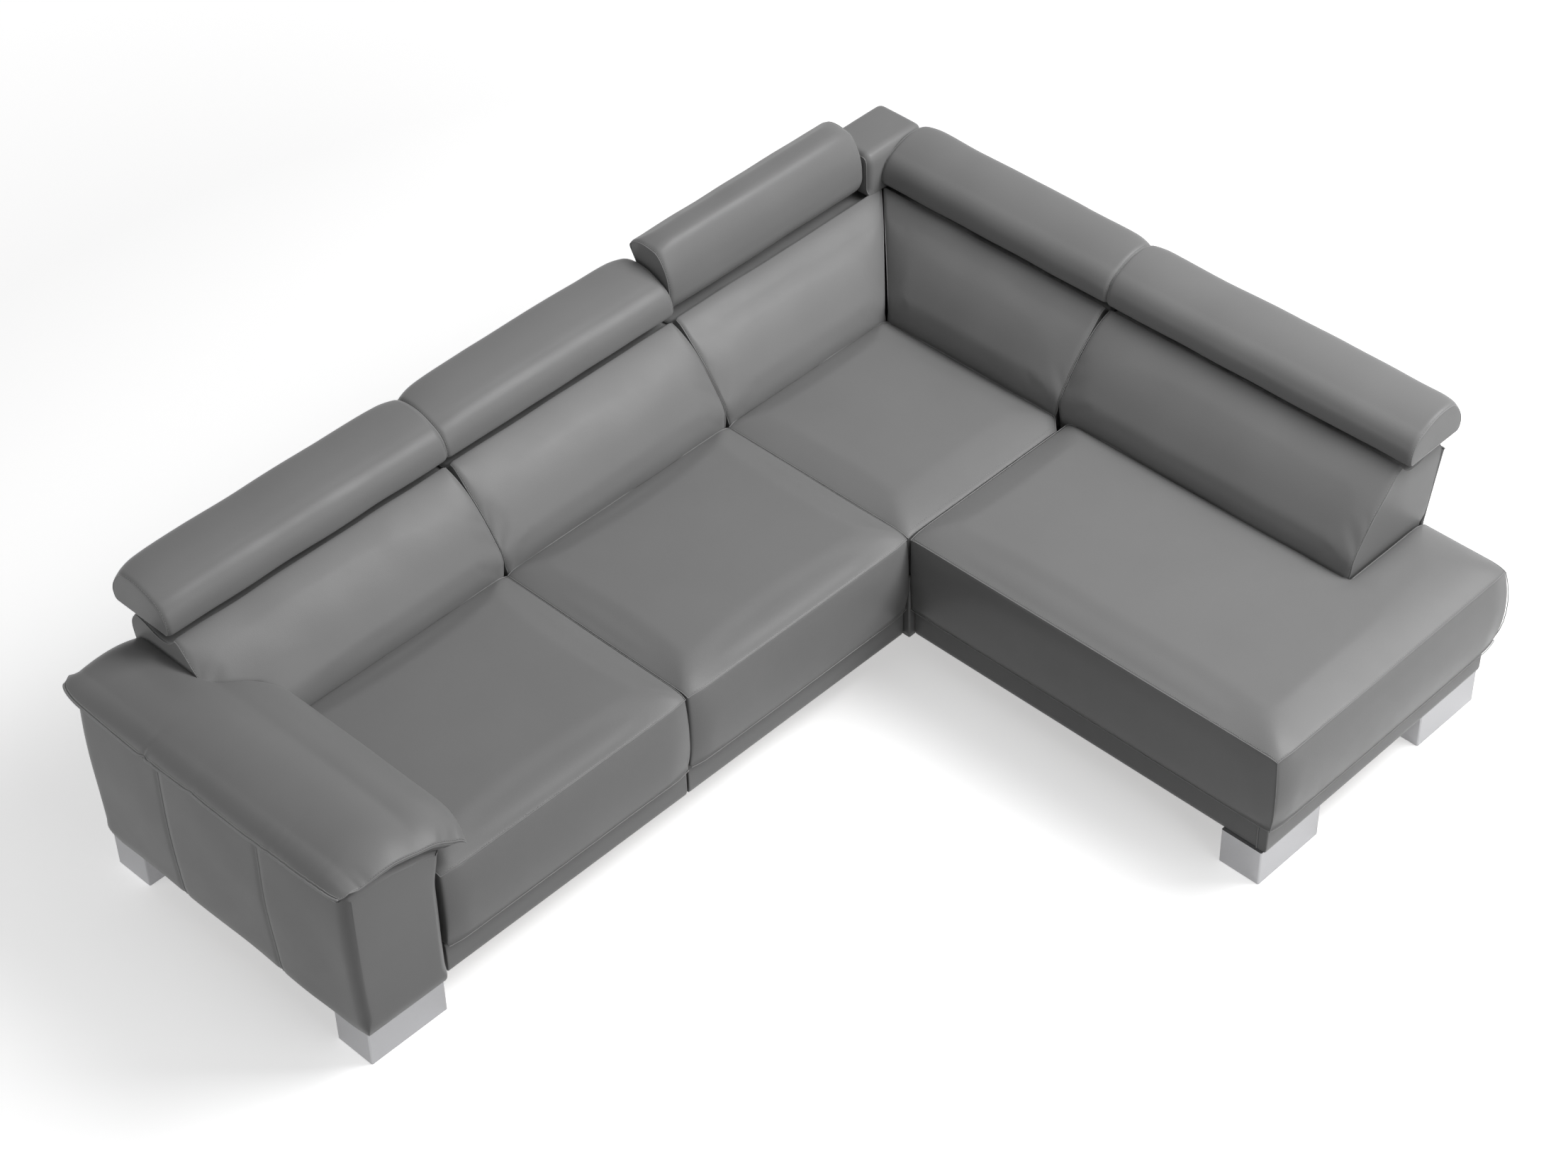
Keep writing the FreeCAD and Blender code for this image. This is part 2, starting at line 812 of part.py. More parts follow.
def back_frame(label, first, last, hinges, placement):
    """Plywood cheeks with the back's own slope, and three rails through them."""
    foam = v.back_front_foam
    thick = v.board_thickness
    top = v.back_top - v.back_top_foam
    low = v.frame_top
    start = (foam, low)
    steps = core_front() + [
        (v.rear_top_setback - v.rear_round, top),
        (rear_setback(v.rear_top_height - v.rear_round), v.rear_top_height - v.rear_round),
        (v.rear_inner, v.rear_knee_height),
        (v.rear_inner, low),
        start,
    ]
    pieces = [prism(start, steps, at_x(x), ALONG * thick) for x in cheek_places(first, last, hinges)]
    rail = v.waist_height - v.rear_knee_height
    pieces.append(block((first, foam, low), (last, foam + thick, low + rail)))
    pieces.append(block((first, v.rear_inner - thick, low), (last, v.rear_inner, low + rail)))
    rail_setback = v.roll_setback + foam
    pieces.append(block((first, rail_setback, top - rail), (last, rail_setback + thick, top)))
    feature(label, pieces[0].multiFuse(pieces[1:]).removeSplitter(), placement)


def rear_panel(label, start, end, placement, cuts):
    """The thin upholstered board that closes the backs from behind."""
    thick = v.rear_panel_thickness
    first = (v.rear_inner, v.rear_panel_bottom)
    steps = [
        (v.rear_inner, v.rear_knee_height),
        (v.rear_top_setback, v.rear_top_height),
        (v.rear_top_setback + thick, v.rear_top_height),
        (v.rear_inner + thick, v.rear_knee_height),
        (v.rear_inner + thick, v.rear_panel_bottom),
        first,
    ]
    shape = prism(first, steps, at_x(start), ALONG * (end - start)).cut(cuts)
    feature(label, shape, placement)


# Headrests. Each is drawn folded, flat on its back, and turns about the axis of its two hinges.


def strip_setback(height):
    """Where the middle of a fixed hinge plate stands at a height below the pivot."""
    return v.pivot_setback + (v.pivot_height - height) * math.tan(math.radians(v.strip_lean))


def sided(x, sides, radius, length):
    """A flat-sided bar about the pivot, along X."""
    corners = []
    for side in range(sides + 1):
        angle = 2 * math.pi * side / sides
        across = radius * math.cos(angle)
        rise = radius * math.sin(angle)
        corners.append(FreeCAD.Vector(x, v.pivot_setback + across, v.pivot_height + rise))
    return Part.Face(Part.makePolygon(corners)).extrude(ALONG * length)


def ratchet_plate(x):
    """An eight-sided plate about the pivot."""
    return sided(x, 8, v.ratchet_radius, v.plate_thickness)


def hinge_plates(x):
    """A fixed plate, beside its cheek, with the bolt and nut that hold the moving plate."""
    thick = v.plate_thickness
    pivot = FreeCAD.Vector(x, v.pivot_setback, v.pivot_height)
    half = v.strip_width / 2
    knee_height = v.back_top - v.strip_knee_drop
    knee = strip_setback(knee_height)
    lean = math.radians(v.strip_lean)
    side = half * math.cos(lean)
    rise = half * math.sin(lean)
    start = (v.pivot_setback - side, v.pivot_height - rise)
    steps = [
        (v.pivot_setback + side, v.pivot_height + rise),
        (knee + half, knee_height + rise / 2),
        (knee + half, v.strip_foot_height),
        (knee - half, v.strip_foot_height),
        (knee - half, knee_height - rise / 2),
        start,
    ]
    plate = prism(start, steps, at_x(x), ALONG * thick)
    stack = 2 * thick + 2 * v.running_gap
    shank = Part.makeCylinder(v.bolt_radius, stack, pivot, ALONG)
    nut = sided(x + stack, 6, v.nut_radius, v.nut_height)
    return plate.multiFuse([ratchet_plate(x), shank, nut]).removeSplitter()


def moving_plate(x):
    """The plate that carries the headrest's board on a flange."""
    thick = v.plate_thickness
    left = x + thick + v.running_gap
    pivot = FreeCAD.Vector(left, v.pivot_setback, v.pivot_height)
    end = board_setback() + v.flange_length
    half = v.strip_width / 2
    strip = block((left, v.pivot_setback, v.pivot_height - half), (left + thick, end, v.rest_board_height))
    flange = block(
        (left, board_setback(), v.rest_board_height - thick),
        (left + v.flange_width, end, v.rest_board_height),
    )
    bore = Part.makeCylinder(v.bolt_radius + v.bolt_play, thick, pivot, ALONG)
    return ratchet_plate(left).multiFuse([strip, flange]).removeSplitter().cut(bore)


def board_setback():
    return v.pivot_setback + v.ratchet_radius + v.running_gap


# A folded headrest from its front edge over its top to its rear edge: an end, then each arc's point
# and end, as shares of its depth from the front and of its height from its bottom.
REST_FRONT_SHARE = 0.62
REST_TOP_SHARES = [((0.04, 0.81), (0.14, 0.91)), ((0.52, 1), (0.91, 0.8)), ((0.985, 0.69), (1, 0.5))]
REST_REAR_SHARES = [(1, 0.14), (0.91, 0)]


def rest_outline(grown):
    """A folded headrest from the side, shrunk or grown about its middle."""
    drop = v.pivot_height - v.rest_bottom
    nose = v.nose_radius
    front = v.pivot_setback - nose
    half_drop = drop / 2
    foot = math.sqrt(nose**2 - drop**2)
    knee = math.sqrt(nose**2 - half_drop**2)
    depth = v.back_reach - front
    height = v.rest_top - v.rest_bottom

    def placed(step):
        if isinstance(step[0], tuple):
            return tuple(placed(point) for point in step)
        return front + depth * step[0], v.rest_bottom + height * step[1]

    start = (v.pivot_setback - foot, v.rest_bottom)
    steps = [
        ((v.pivot_setback - knee, v.pivot_height - half_drop), (front, v.pivot_height)),
        placed((0, REST_FRONT_SHARE)),
        *map(placed, REST_TOP_SHARES + REST_REAR_SHARES),
        start,
    ]
    middle = (front + depth / 2, v.rest_bottom + height / 2)

    def shrunk(step):
        if isinstance(step[0], tuple):
            return tuple(shrunk(point) for point in step)
        return tuple(m + (p - m) * grown for p, m in zip(step, middle))

    return shrunk(start), [shrunk(step) for step in steps]


def headrest(number, start, end, placement, raised):
    """A headrest: its cushion, its board, and the fixed and moving halves of its two hinges."""

    def section(x, draw):
        return outline(*rest_outline(1 - v.rest_draw_share * draw), at_x(start + x))

    cushion = padded(section, end - start, v.rest_edge_length, ALONG)
    low = (start + v.rest_board_margin, board_setback(), v.rest_board_height)
    high = (
        end - v.rest_board_margin,
        board_setback() + v.rest_board_width,
        v.rest_board_height + v.rest_board_thickness,
    )
    wood = block(low, high)
    cushion = cushion.cut(wood)
    play = v.pocket_play
    hinges = hinge_places(start, end)
    for x in hinges:
        left = x - play
        right = x + v.plate_thickness + v.running_gap + v.flange_width + play
        front = v.pivot_setback - v.ratchet_radius - 3 * play
        rear = board_setback() + v.flange_length + play
        pocket = block((left, front, v.rest_bottom - v.overrun), (right, rear, v.rest_board_height))
        over = sided(left, 8, v.ratchet_radius + play, right - left)
        cushion = cushion.cut(pocket.fuse(over).cut(wood))
    turned = placement
    if raised:
        pivot = FreeCAD.Vector(0, v.pivot_setback, v.pivot_height)
        turn = FreeCAD.Rotation(ALONG, v.raised_angle)
        turned = placement * FreeCAD.Placement(FreeCAD.Vector(), turn, pivot)
    feature(f"headrest_cushion_{number}", cushion, turned)
    feature(f"headrest_board_{number}", wood, turned)
    feature(f"hinge_arm_{number}", Part.makeCompound([moving_plate(x) for x in hinges]), turned)
    feature(f"hinge_bracket_{number}", Part.makeCompound([hinge_plates(x) for x in hinges]), placement)


def backs_and_headrests():
    """The five backs and headrests, with the rear panels."""
    half = v.seat_gap / 2
    rest_half = v.rest_gap / 2
    past = v.back_reach + v.edge_length
    foam = v.back_end_foam
    long_corner = mitre(1, v.side_line)
    short_corner = mitre(-1, 0)
    beside_arm = block(
        (v.arm_left, -v.overrun, 0),
        (v.seat_1_left + v.arm_flare - v.pocket_play, v.back_reach, v.arm_top_crest + v.soft_gap),
    )
    wing = v.seat_1_left - v.wing_length
    past_corner = v.side_line + past
    spans = {
        1: (wing, v.seat_2_left - half),
        2: (v.seat_2_left + half, v.corner_left - half),
        3: (v.corner_left + half, past_corner),
        4: (-past, v.back_4_end - half),
        5: (v.back_5_start + half, v.back_5_end),
    }
    cores = {
        1: (v.seat_1_left + v.arm_flare, v.seat_2_left - foam),
        2: (v.seat_2_left + foam, v.corner_left - foam),
        3: (v.corner_left + foam, past_corner),
        4: (-past, v.back_4_end - foam),
        5: (v.back_5_start + foam, v.back_5_end - foam),
    }
    cuts = {1: beside_arm, 3: long_corner, 4: short_corner}
    plain_sides = {3: "end", 4: "start"}
    rests = {
        1: (v.seat_1_left - v.rest_1_wing, v.seat_2_left - rest_half),
        2: (v.seat_2_left + rest_half, v.corner_left - rest_half),
        3: (v.corner_left + rest_half, v.corner_left + v.rest_3_length),
        4: (-v.rest_4_start, v.back_4_end - rest_half),
        5: (v.back_5_start + rest_half, v.back_5_end + v.rest_5_end),
    }
    frames = {3: (v.corner_left + foam, v.side_line - foam), 4: (foam, v.back_4_end - foam)}
    for number, span in spans.items():
        placement = long_side() if number < 4 else short_side()
        hinges = hinge_places(*rests[number])
        plain_side = plain_sides.get(number, "")
        back_cushion(number, span, cores[number], hinges, placement, cuts.get(number), plain_side)
        first, last = frames.get(number, cores[number])
        back_frame(f"back_frame_{number}", first, last, hinges, placement)
        headrest(number, *rests[number], placement, raised=number == 3)
    flare_low = (v.arm_left, 0, v.arm_waist_height - v.soft_gap)
    flare_high = (v.seat_1_left + v.arm_flare - v.pocket_play, v.back_reach, v.arm_top_crest + v.soft_gap)
    long_cuts = [long_corner, block(flare_low, flare_high)]
    rear_panel("rear_panel_long", v.seat_1_left, past_corner, long_side(), long_cuts)
    rear_panel("rear_panel_short", -past, v.back_5_end, short_side(), [short_corner])


def corner_filler():
    """The padded block that fills the corner behind headrests 3 and 4, and the post under it."""
    x = "corner_left + rest_3_length + corner_pad_gap"
    y = "back_line + rest_4_start + corner_pad_gap / 2"
    length = f"side_line + rear_top_setback - corner_pad_inset - ({x})"
    width = f"back_line + rear_top_setback - corner_pad_inset - ({y})"
    plain = board("corner_block", x, y, "back_top + soft_gap", length, width, "corner_pad_height - soft_gap")
    doc.recompute()
    bevel = doc.addObject("Part::Chamfer", "corner_bevels")
    bevel.Base = plain
    top = v.corner_pad_top - v.soft_gap
    edges = plain.Shape.Edges
    rim = [i for i, edge in enumerate(edges, 1) if edge.BoundBox.ZMin > top] + upright_edges(plain.Shape)
    bevel.Edges = [(i, v.corner_pad_bevel, v.corner_pad_bevel) for i in rim]
    keep(bevel, "corner_pad")
    post = board(
        "corner_post",
        "side_line + rear_inner - corner_post_side",
        "back_line + rear_inner - corner_post_side",
        "frame_top",
        "corner_post_side",
        "corner_post_side",
        "back_top - back_top_foam - frame_top",
    )
    keep(post, "corner_post")


# The arm


def arm_outline(grow):
    """The arm from the front, from its outer face, grown at the sides and the top by a gap."""
    inner = v.arm_width - v.arm_gap
    flare = inner + v.arm_flare
    foot = v.arm_bottom_inset
    middle = (v.foot_height + v.arm_top_outer) / 2
    start = (foot - grow, v.foot_height)
    steps = [
        ((-v.arm_bulge - grow, middle), (-grow, v.arm_top_outer)),
        (foot, v.arm_top_crest + grow),
        (inner / 2, v.arm_top_crest - v.arm_bulge + grow),
        (inner - foot, v.arm_top_inner + grow),
        (flare + grow, v.arm_flare_height + grow),
        ((flare - v.arm_bulge + grow, v.arm_flare_height - v.arm_flare), (inner + grow, v.arm_waist_height)),
        (inner + grow, v.foot_height),
        start,
    ]
    return start, steps


def arm():
    """The arm's upholstered body, its frame, and the thick pad draped over it."""
    long = v.arm_front_reach + v.seat_depth + v.arm_rear_depth
    front = v.seat_front - v.arm_front_reach
    start, steps = arm_outline(0)
    form = prism(start, steps, at_y(0), FreeCAD.Vector(0, long, 0))
    inner = v.arm_width - v.arm_gap
    low = (v.arm_wall, v.arm_wall, v.foot_height - v.overrun)
    high = (inner - v.arm_wall, long - v.arm_wall, v.arm_frame_top)
    cover = form.cut(block(low, high))
    feature("arm_cover", cover, FreeCAD.Placement(FreeCAD.Vector(v.arm_left, front, 0), FreeCAD.Rotation()))

    thick = "board_thickness"
    left = "arm_left + arm_wall"
    wide = "arm_width - arm_gap - 2 * arm_wall"
    near = "seat_front - arm_front_reach + arm_wall"
    deep = "arm_front_reach + seat_depth + arm_rear_depth - 2 * arm_wall"
    tall = "arm_frame_top - foot_height"
    rear = f"{near} + {deep} - {thick}"
    block_width = "foot_width + foot_front_inset"
    pieces = [
        board("arm_outer", left, near, "foot_height", thick, deep, tall),
        board("arm_inner", f"{left} + {wide} - {thick}", near, "foot_height", thick, deep, tall),
        board("arm_front", left, near, "foot_height", wide, thick, tall),
        board("arm_rear_board", left, rear, "foot_height", wide, thick, tall),
        board("arm_middle", left, f"{near} + ({deep}) / 2", "foot_height", wide, thick, tall),
        board("arm_top", left, near, f"arm_frame_top - {thick}", wide, deep, thick),
        foot_block("arm_front_block", left, near, wide, block_width),
        foot_block("arm_rear_block", left, f"{near} + {deep} - ({block_width})", wide, block_width),
    ]
    joined("arm_frame", pieces)
    arm_pad(long)


# The pad's upper side, from its outer edge to its tip: each arc's point and end, as shares of its
# reach across the arm and of its thickness above the arm's crest.
PAD_TOP_SHARES = [
    ((-0.085, 0.33), (0.02, 0.92)),
    ((0.32, 1.12), (0.62, 0.62)),
    ((0.86, 0.12), (0.99, -0.63)),
    ((1, -1.25), (0.966, -1.63)),
]


def pad_outline(shrink):
    """The pad's section: a thick saddle over the arm, shrunk at its ends."""
    inner = v.arm_width - v.arm_gap
    flare = inner + v.arm_flare
    foot = v.arm_bottom_inset
    gap = v.soft_gap
    crest = v.arm_top_crest + gap
    reach = v.pad_reach - shrink
    thick = v.pad_thickness - shrink
    tip = crest + v.pad_thickness * PAD_TOP_SHARES[-1][1][1]
    start = ((shrink - v.pad_overhang) / 2, v.pad_skirt)
    steps = [tuple((reach * across, crest + thick * rise) for across, rise in arc) for arc in PAD_TOP_SHARES]
    steps += [
        (flare + foot, tip + foot / 3),
        (flare + gap, v.arm_flare_height + gap),
        (inner - foot, v.arm_top_inner + gap),
        (inner / 2, v.arm_top_crest - v.arm_bulge + gap),
        (foot, crest),
        (-gap, v.arm_top_outer + gap),
        start,
    ]
    return start, steps


def arm_pad(long):
    """The pad over the arm, cut back where back 1 stands beside it."""
    front = -v.pad_front_reach
    rear = long + v.pad_rear_reach
    shrink = v.pad_thickness

    def section(y, draw):
        return outline(*pad_outline(shrink * draw / 2), at_y(front + y))

    form = padded(section, rear - front, v.pad_front_reach + v.pad_rear_reach, ACROSS)
    form.translate(FreeCAD.Vector(v.arm_left, v.seat_front - v.arm_front_reach, 0))
    start, steps = back_front(v.back_clearance)
    wing = v.seat_1_left - v.wing_length - v.back_clearance
    beside = prism(start, steps, at_x(wing), ALONG * v.seat_1_width)
    beside.translate(FreeCAD.Vector(0, v.back_line, 0))
    low = (wing, v.back_line + v.rear_inner - v.overrun, 0)
    behind = block(low, (v.seat_2_left, v.back_line + 2 * v.back_reach, 2 * v.back_top))
    feature("arm_pad", form.cut(beside).cut(behind))


# Feet


def plane_of(body, role):
    """A body's own origin plane."""
    return next(item for item in body.Origin.OriginFeatures if item.Role == role)


def rectangle(body, name, inset):
    """A sketch of the foot's rectangle on the body's XY plane, set in from its edges."""
    sketch = body.newObject("Sketcher::SketchObject", name)
    sketch.AttachmentSupport = [(plane_of(body, "XY_Plane"), "")]
    sketch.MapMode = "FlatFace"
    length = f"foot_length - 2 * {inset}"
    width = f"foot_width - 2 * {inset}"
    near = layout_value(inset)
    far_x = near + layout_value(length)
    far_y = near + layout_value(width)
    corners = [(near, near), (far_x, near), (far_x, far_y), (near, far_y)]
    for a, b in zip(corners, corners[1:] + corners[:1]):
        sketch.addGeometry(Part.LineSegment(FreeCAD.Vector(*a, 0), FreeCAD.Vector(*b, 0)), False)
    join = [Sketcher.Constraint("Coincident", i, 2, (i + 1) % 4, 1) for i in range(4)]
    level = [Sketcher.Constraint("Horizontal", 0), Sketcher.Constraint("Vertical", 1)]
    level += [Sketcher.Constraint("Horizontal", 2), Sketcher.Constraint("Vertical", 3)]
    sketch.addConstraint(join + level)
    for value, text, kind, first in (
        (near, inset, "DistanceX", (-1, 1, 0, 1)),
        (near, inset, "DistanceY", (-1, 1, 0, 1)),
        (far_x - near, length, "DistanceX", (0, 1, 0, 2)),
        (far_y - near, width, "DistanceY", (1, 1, 1, 2)),
    ):
        index = sketch.addConstraint(Sketcher.Constraint(kind, *first, value))
        sketch.setExpression(f"Constraints[{index}]", bound(text))
    return sketch


def foot(label, x, y):
    """A block foot of bent sheet metal: open below, with a top plate that one screw passes."""
    body = doc.addObject("PartDesign::Body", label)
    plate = rectangle(body, label + "_outline", "0")
    solid = body.newObject("PartDesign::Pad", label + "_block")
    solid.Profile = plate
    solid.setExpression("Length", bound("foot_height"))
    doc.recompute()
    rounds = body.newObject("PartDesign::Fillet", label + "_rounds")
    rounds.Base = (solid, [f"Edge{i}" for i in upright_edges(solid.Shape)])
    rounds.setExpression("Radius", bound("foot_round"))
    doc.recompute()
    hollow = body.newObject("PartDesign::Pocket", label + "_hollow")
    hollow.Profile = rectangle(body, label + "_inside", "foot_wall")
    hollow.Reversed = True
    hollow.setExpression("Length", bound("foot_height - foot_wall"))
    doc.recompute()
    circle = body.newObject("Sketcher::SketchObject", label + "_hole_outline")
    circle.AttachmentSupport = [(plane_of(body, "XY_Plane"), "")]
    circle.MapMode = "FlatFace"
    centre = FreeCAD.Vector(v.foot_length / 2, v.foot_width / 2, 0)
    number = circle.addGeometry(Part.Circle(centre, UP, v.screw_hole_radius), False)
    circle.addConstraint(Sketcher.Constraint("DistanceX", -1, 1, number, 3, centre.x))
    circle.setExpression("Constraints[0]", bound("foot_length / 2"))
    circle.addConstraint(Sketcher.Constraint("DistanceY", -1, 1, number, 3, centre.y))
    circle.setExpression("Constraints[1]", bound("foot_width / 2"))
    circle.addConstraint(Sketcher.Constraint("Radius", number, v.screw_hole_radius))
    circle.setExpression("Constraints[2]", bound("screw_hole_radius"))
    hole = body.newObject("PartDesign::Pocket", label + "_hole")
    hole.Profile = circle
    hole.Reversed = True
    hole.setExpression("Length", bound("foot_height + overrun"))
    for axis, text in {"x": x, "y": y}.items():
        body.setExpression("Placement.Base." + axis, bound(text))
    return body


FEET = {
    "feet_arm": [
        ("arm_left + foot_inset", "seat_front + foot_front_inset"),
        ("arm_left + foot_inset", "arm_rear - foot_rear_inset - foot_width"),
    ],
    "feet_lounger": [
        ("corner_left + lounger_foot_inset", "lounger_front + lounger_foot_front_inset"),
        ("lounger_right - foot_inset - foot_length", "lounger_front + lounger_foot_front_inset"),
    ],
    "foot_corner": [
        ("lounger_right - foot_inset - foot_length", "rear_line - foot_rear_inset - foot_width"),
    ],
}


def upright_bar(x, y, z, sides, radius, height):
    """A flat-sided upright bar."""
    corners = []
    for side in range(sides + 1):
        angle = 2 * math.pi * side / sides
        corners.append(FreeCAD.Vector(x + radius * math.cos(angle), y + radius * math.sin(angle), z))
    return Part.Face(Part.makePolygon(corners)).extrude(UP * height)


def screw(x, y):
    """A coach screw up through a foot's top plate, with a six-sided head."""
    plate = v.foot_height - v.foot_wall
    head = upright_bar(x, y, plate - v.screw_head_height, 6, v.screw_head_radius, v.screw_head_height)
    shank = upright_bar(x, y, plate, 8, v.screw_radius, v.screw_length)
    return head.fuse(shank).removeSplitter()


def feet():
    screws = []
    for label, places in FEET.items():
        group = doc.addObject("Part::Compound", label + "_group")
        group.Links = [foot(f"{label}_{number}", x, y) for number, (x, y) in enumerate(places, 1)]
        keep(group, label)
        for x, y in places:
            screws.append(screw(layout_value(x) + v.foot_length / 2, layout_value(y) + v.foot_width / 2))
    feature("foot_screws", Part.makeCompound(screws))
    rail = v.corner_left - v.module_gap / 2 - v.board_thickness / 2
    lounger_rail = v.lounger_right - v.fall_depth - v.board_thickness / 2
    bays = bay_count("long_frame_length")
    slat_share = math.ceil(bays / 2) / bays
    thick = v.board_thickness
    middle = v.seat_1_left + (v.long_frame_length - thick) * slat_share + thick / 2
    places = [
        (middle, v.seat_front + v.seat_depth / 2),
        (middle, v.back_line + v.rear_inner / 2),
        (rail, v.seat_front + v.seat_depth / 2),
        (rail, v.back_line + v.rear_inner / 2),
        (lounger_rail, v.lounger_front + v.lounger_length * v.lounger_support_share),
    ]
    half = v.support_side / 2
    supports = [block((x - half, y - half, 0), (x + half, y + half, v.foot_height)) for x, y in places]
    feature("support_feet", Part.makeCompound(supports))


def write_parts():
    """Checks every object, then writes one file for each sub-part."""
    doc.recompute()
    for item in doc.Objects:
        if "Invalid" in item.State or "Error" in item.State:
            raise RuntimeError(f"{item.Name} failed: {item.State}")
    os.makedirs("parts", exist_ok=True)
    for piece in parts:
        if piece.Shape.isNull() or not piece.Shape.isValid():
            raise RuntimeError(f"{piece.Label} has no valid shape")
    for piece in parts:
        piece.Shape.exportStep(f"parts/{piece.Label}.step")


seat(1, "seat_1_left", "seat_1_width")
seat(2, "seat_2_left", "seat_2_width")
corner_seat()
lounger_seat()
base_frames()
base_panels()
webbing()
module_connectors()
backs_and_headrests()
corner_filler()
arm()
feet()
write_parts()
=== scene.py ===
import math
import random

import bmesh
import bpy
import numpy as np
from mathutils import Matrix, Vector, noise
from mathutils.bvhtree import BVHTree
from mathutils.kdtree import KDTree


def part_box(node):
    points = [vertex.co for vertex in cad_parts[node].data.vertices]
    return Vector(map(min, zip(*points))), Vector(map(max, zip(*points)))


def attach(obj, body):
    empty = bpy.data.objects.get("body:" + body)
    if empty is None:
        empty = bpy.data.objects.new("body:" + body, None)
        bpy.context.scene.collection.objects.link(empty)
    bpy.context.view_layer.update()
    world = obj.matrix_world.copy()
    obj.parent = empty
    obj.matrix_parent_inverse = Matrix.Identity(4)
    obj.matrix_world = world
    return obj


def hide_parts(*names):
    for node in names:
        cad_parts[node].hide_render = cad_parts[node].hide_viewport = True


# A leather corner sofa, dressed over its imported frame. X runs from the arm to the corner, Y from the
# front to the back, and Z up. Metres.

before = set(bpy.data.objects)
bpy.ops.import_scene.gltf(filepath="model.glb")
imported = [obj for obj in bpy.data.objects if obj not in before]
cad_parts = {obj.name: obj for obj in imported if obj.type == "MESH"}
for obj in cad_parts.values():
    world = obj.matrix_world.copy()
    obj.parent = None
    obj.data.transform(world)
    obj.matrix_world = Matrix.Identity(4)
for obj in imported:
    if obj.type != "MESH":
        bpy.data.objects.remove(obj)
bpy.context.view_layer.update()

# Sizes: the seats, from their seam up and down

SEAM_HEIGHT = 0.429
SEAT_CROWN = 0.002
FRONT_ROLL = 0.024
SIDE_ROLL = 0.019
REAR_ROLL = 0.012
SEAM_GAP = 0.0008
FALL_BOTTOM = 0.196
FALL_DEPTH = 0.045
FRAME_TOP = 0.2945
SEAT_BULGE = 0.010
SEAT_PITCH = 0.014
SEAT_TOP = SEAM_HEIGHT + FRONT_ROLL - 0.002
FALL_TUCK = 0.006

# The backs' outline, as setback and height, and how it is drawn in and swells along a back
BACK_SEAT_HEIGHT = 0.441
LUMBAR = (-0.009, 0.456)
WAIST = (0.011, 0.511)
SLOPE = (0.066, 0.588)
ROLL = (0.146, 0.660)
ROLL_END = (0.179, 0.6755)
BACK_TOP = 0.6695
BACK_REAR = 0.2835
REAR_TOP = 0.636
REAR_KNEE = 0.430
BACK_SWELL = 0.005
BACK_GATHER, BACK_GATHER_REACH = 0.006, 0.09
CORNER_DRAW, MITRE_DRAW, CORNER_REACH = 0.006, 0.003, 0.07
WING_TOP = 0.560

# The headrests: what they turn about, and how they sink towards their ends
REST_PIVOT = (0.231, 0.733)
REST_WAVE = 0.0035
REST_OVERHANG = 0.001
REST_DEPTHS = (0.1705, 0.374)
REST_REAR_DRAW, REST_REAR_REACH = 0.014, 0.06
REST_FRONT_DRAW, REST_FRONT_REACH = 0.005, 0.05
REST_CROWN_REACH = 0.14

# The lines that the fronts of the long side's and the short side's backs stand on
LONG_LINE = 0.682
SHORT_LINE = 1.005

ARM_LEFT = -1.349
ARM_FOOT = 0.104
ARM_WAIST = 0.424
ARM_SEAMS = (0.361, 0.703)
SEAM_GROOVE, SEAM_GROOVE_WIDTH = 0.0035, 0.007
ARM_TUCK_HEIGHT = 0.035

# The arm pad: its width over the seat and beside back 1, and how its skirt, corners and tip round off
PAD_REACH = 0.350
PAD_WING = 0.211
PAD_WING_START, PAD_WING_LENGTH = 0.642, 0.125
PAD_SKIRT = 0.06
PAD_FRONT_ROUND, PAD_REAR_ROUND, PAD_TIP_ROUND = 0.125, 0.055, 0.024
PAD_LEAST = 0.03
PAD_EDGE_LEVEL = 0.556
PAD_LIP = (-0.027, 0.558)
PAD_TIP = (0.338, 0.500)
# The height of the pad's outer edge, from its front to its rear
PAD_OUTER_EDGE = [
    (0.033, 0.588), (0.060, 0.583), (0.126, 0.576), (0.253, 0.570), (0.363, 0.564), (0.451, 0.566),
    (0.597, 0.565), (0.713, 0.560), (0.862, 0.568), (0.967, 0.575), (1.021, 0.582),
]

# How the filling presses the leather out: a short cloth simulation, and how far a point may move in it
SETTLING = {
    "quality": 4,
    "use_pressure": True,
    "uniform_pressure_force": 4.0,
    "tension_stiffness": 20.0,
    "compression_stiffness": 8.0,
    "bending_stiffness": 0.6,
}
SETTLING_STEPS = 14
SETTLING_LIMIT = 0.004

# Seams and the stitches beside them
SEAM_RADIUS = 0.0011
STITCH_LENGTH = 0.0045
STITCH_PITCH = 0.007
STITCH_RADIUS = 0.0005

# Outlines: a start, then points, or a point on an arc and the arc's end


def arc(a, via, b, count=16):
    """Points on the arc from a through via to b, without a."""
    (ax, ay), (bx, by), (cx, cy) = a, via, b
    d = 2 * (ax * (by - cy) + bx * (cy - ay) + cx * (ay - by))
    if abs(d) < 1e-12:
        return [b]
    squares = ax * ax + ay * ay, bx * bx + by * by, cx * cx + cy * cy
    ux = (squares[0] * (by - cy) + squares[1] * (cy - ay) + squares[2] * (ay - by)) / d
    uy = (squares[0] * (cx - bx) + squares[1] * (ax - cx) + squares[2] * (bx - ax)) / d
    angles = [math.atan2(y - uy, x - ux) for x, y in (a, via, b)]
    whole = (angles[2] - angles[0]) % math.tau
    if (angles[1] - angles[0]) % math.tau > whole:
        whole -= math.tau
    radius = math.hypot(ax - ux, ay - uy)
    turns = [angles[0] + whole * i / count for i in range(1, count + 1)]
    return [(ux + radius * math.cos(t), uy + radius * math.sin(t)) for t in turns]


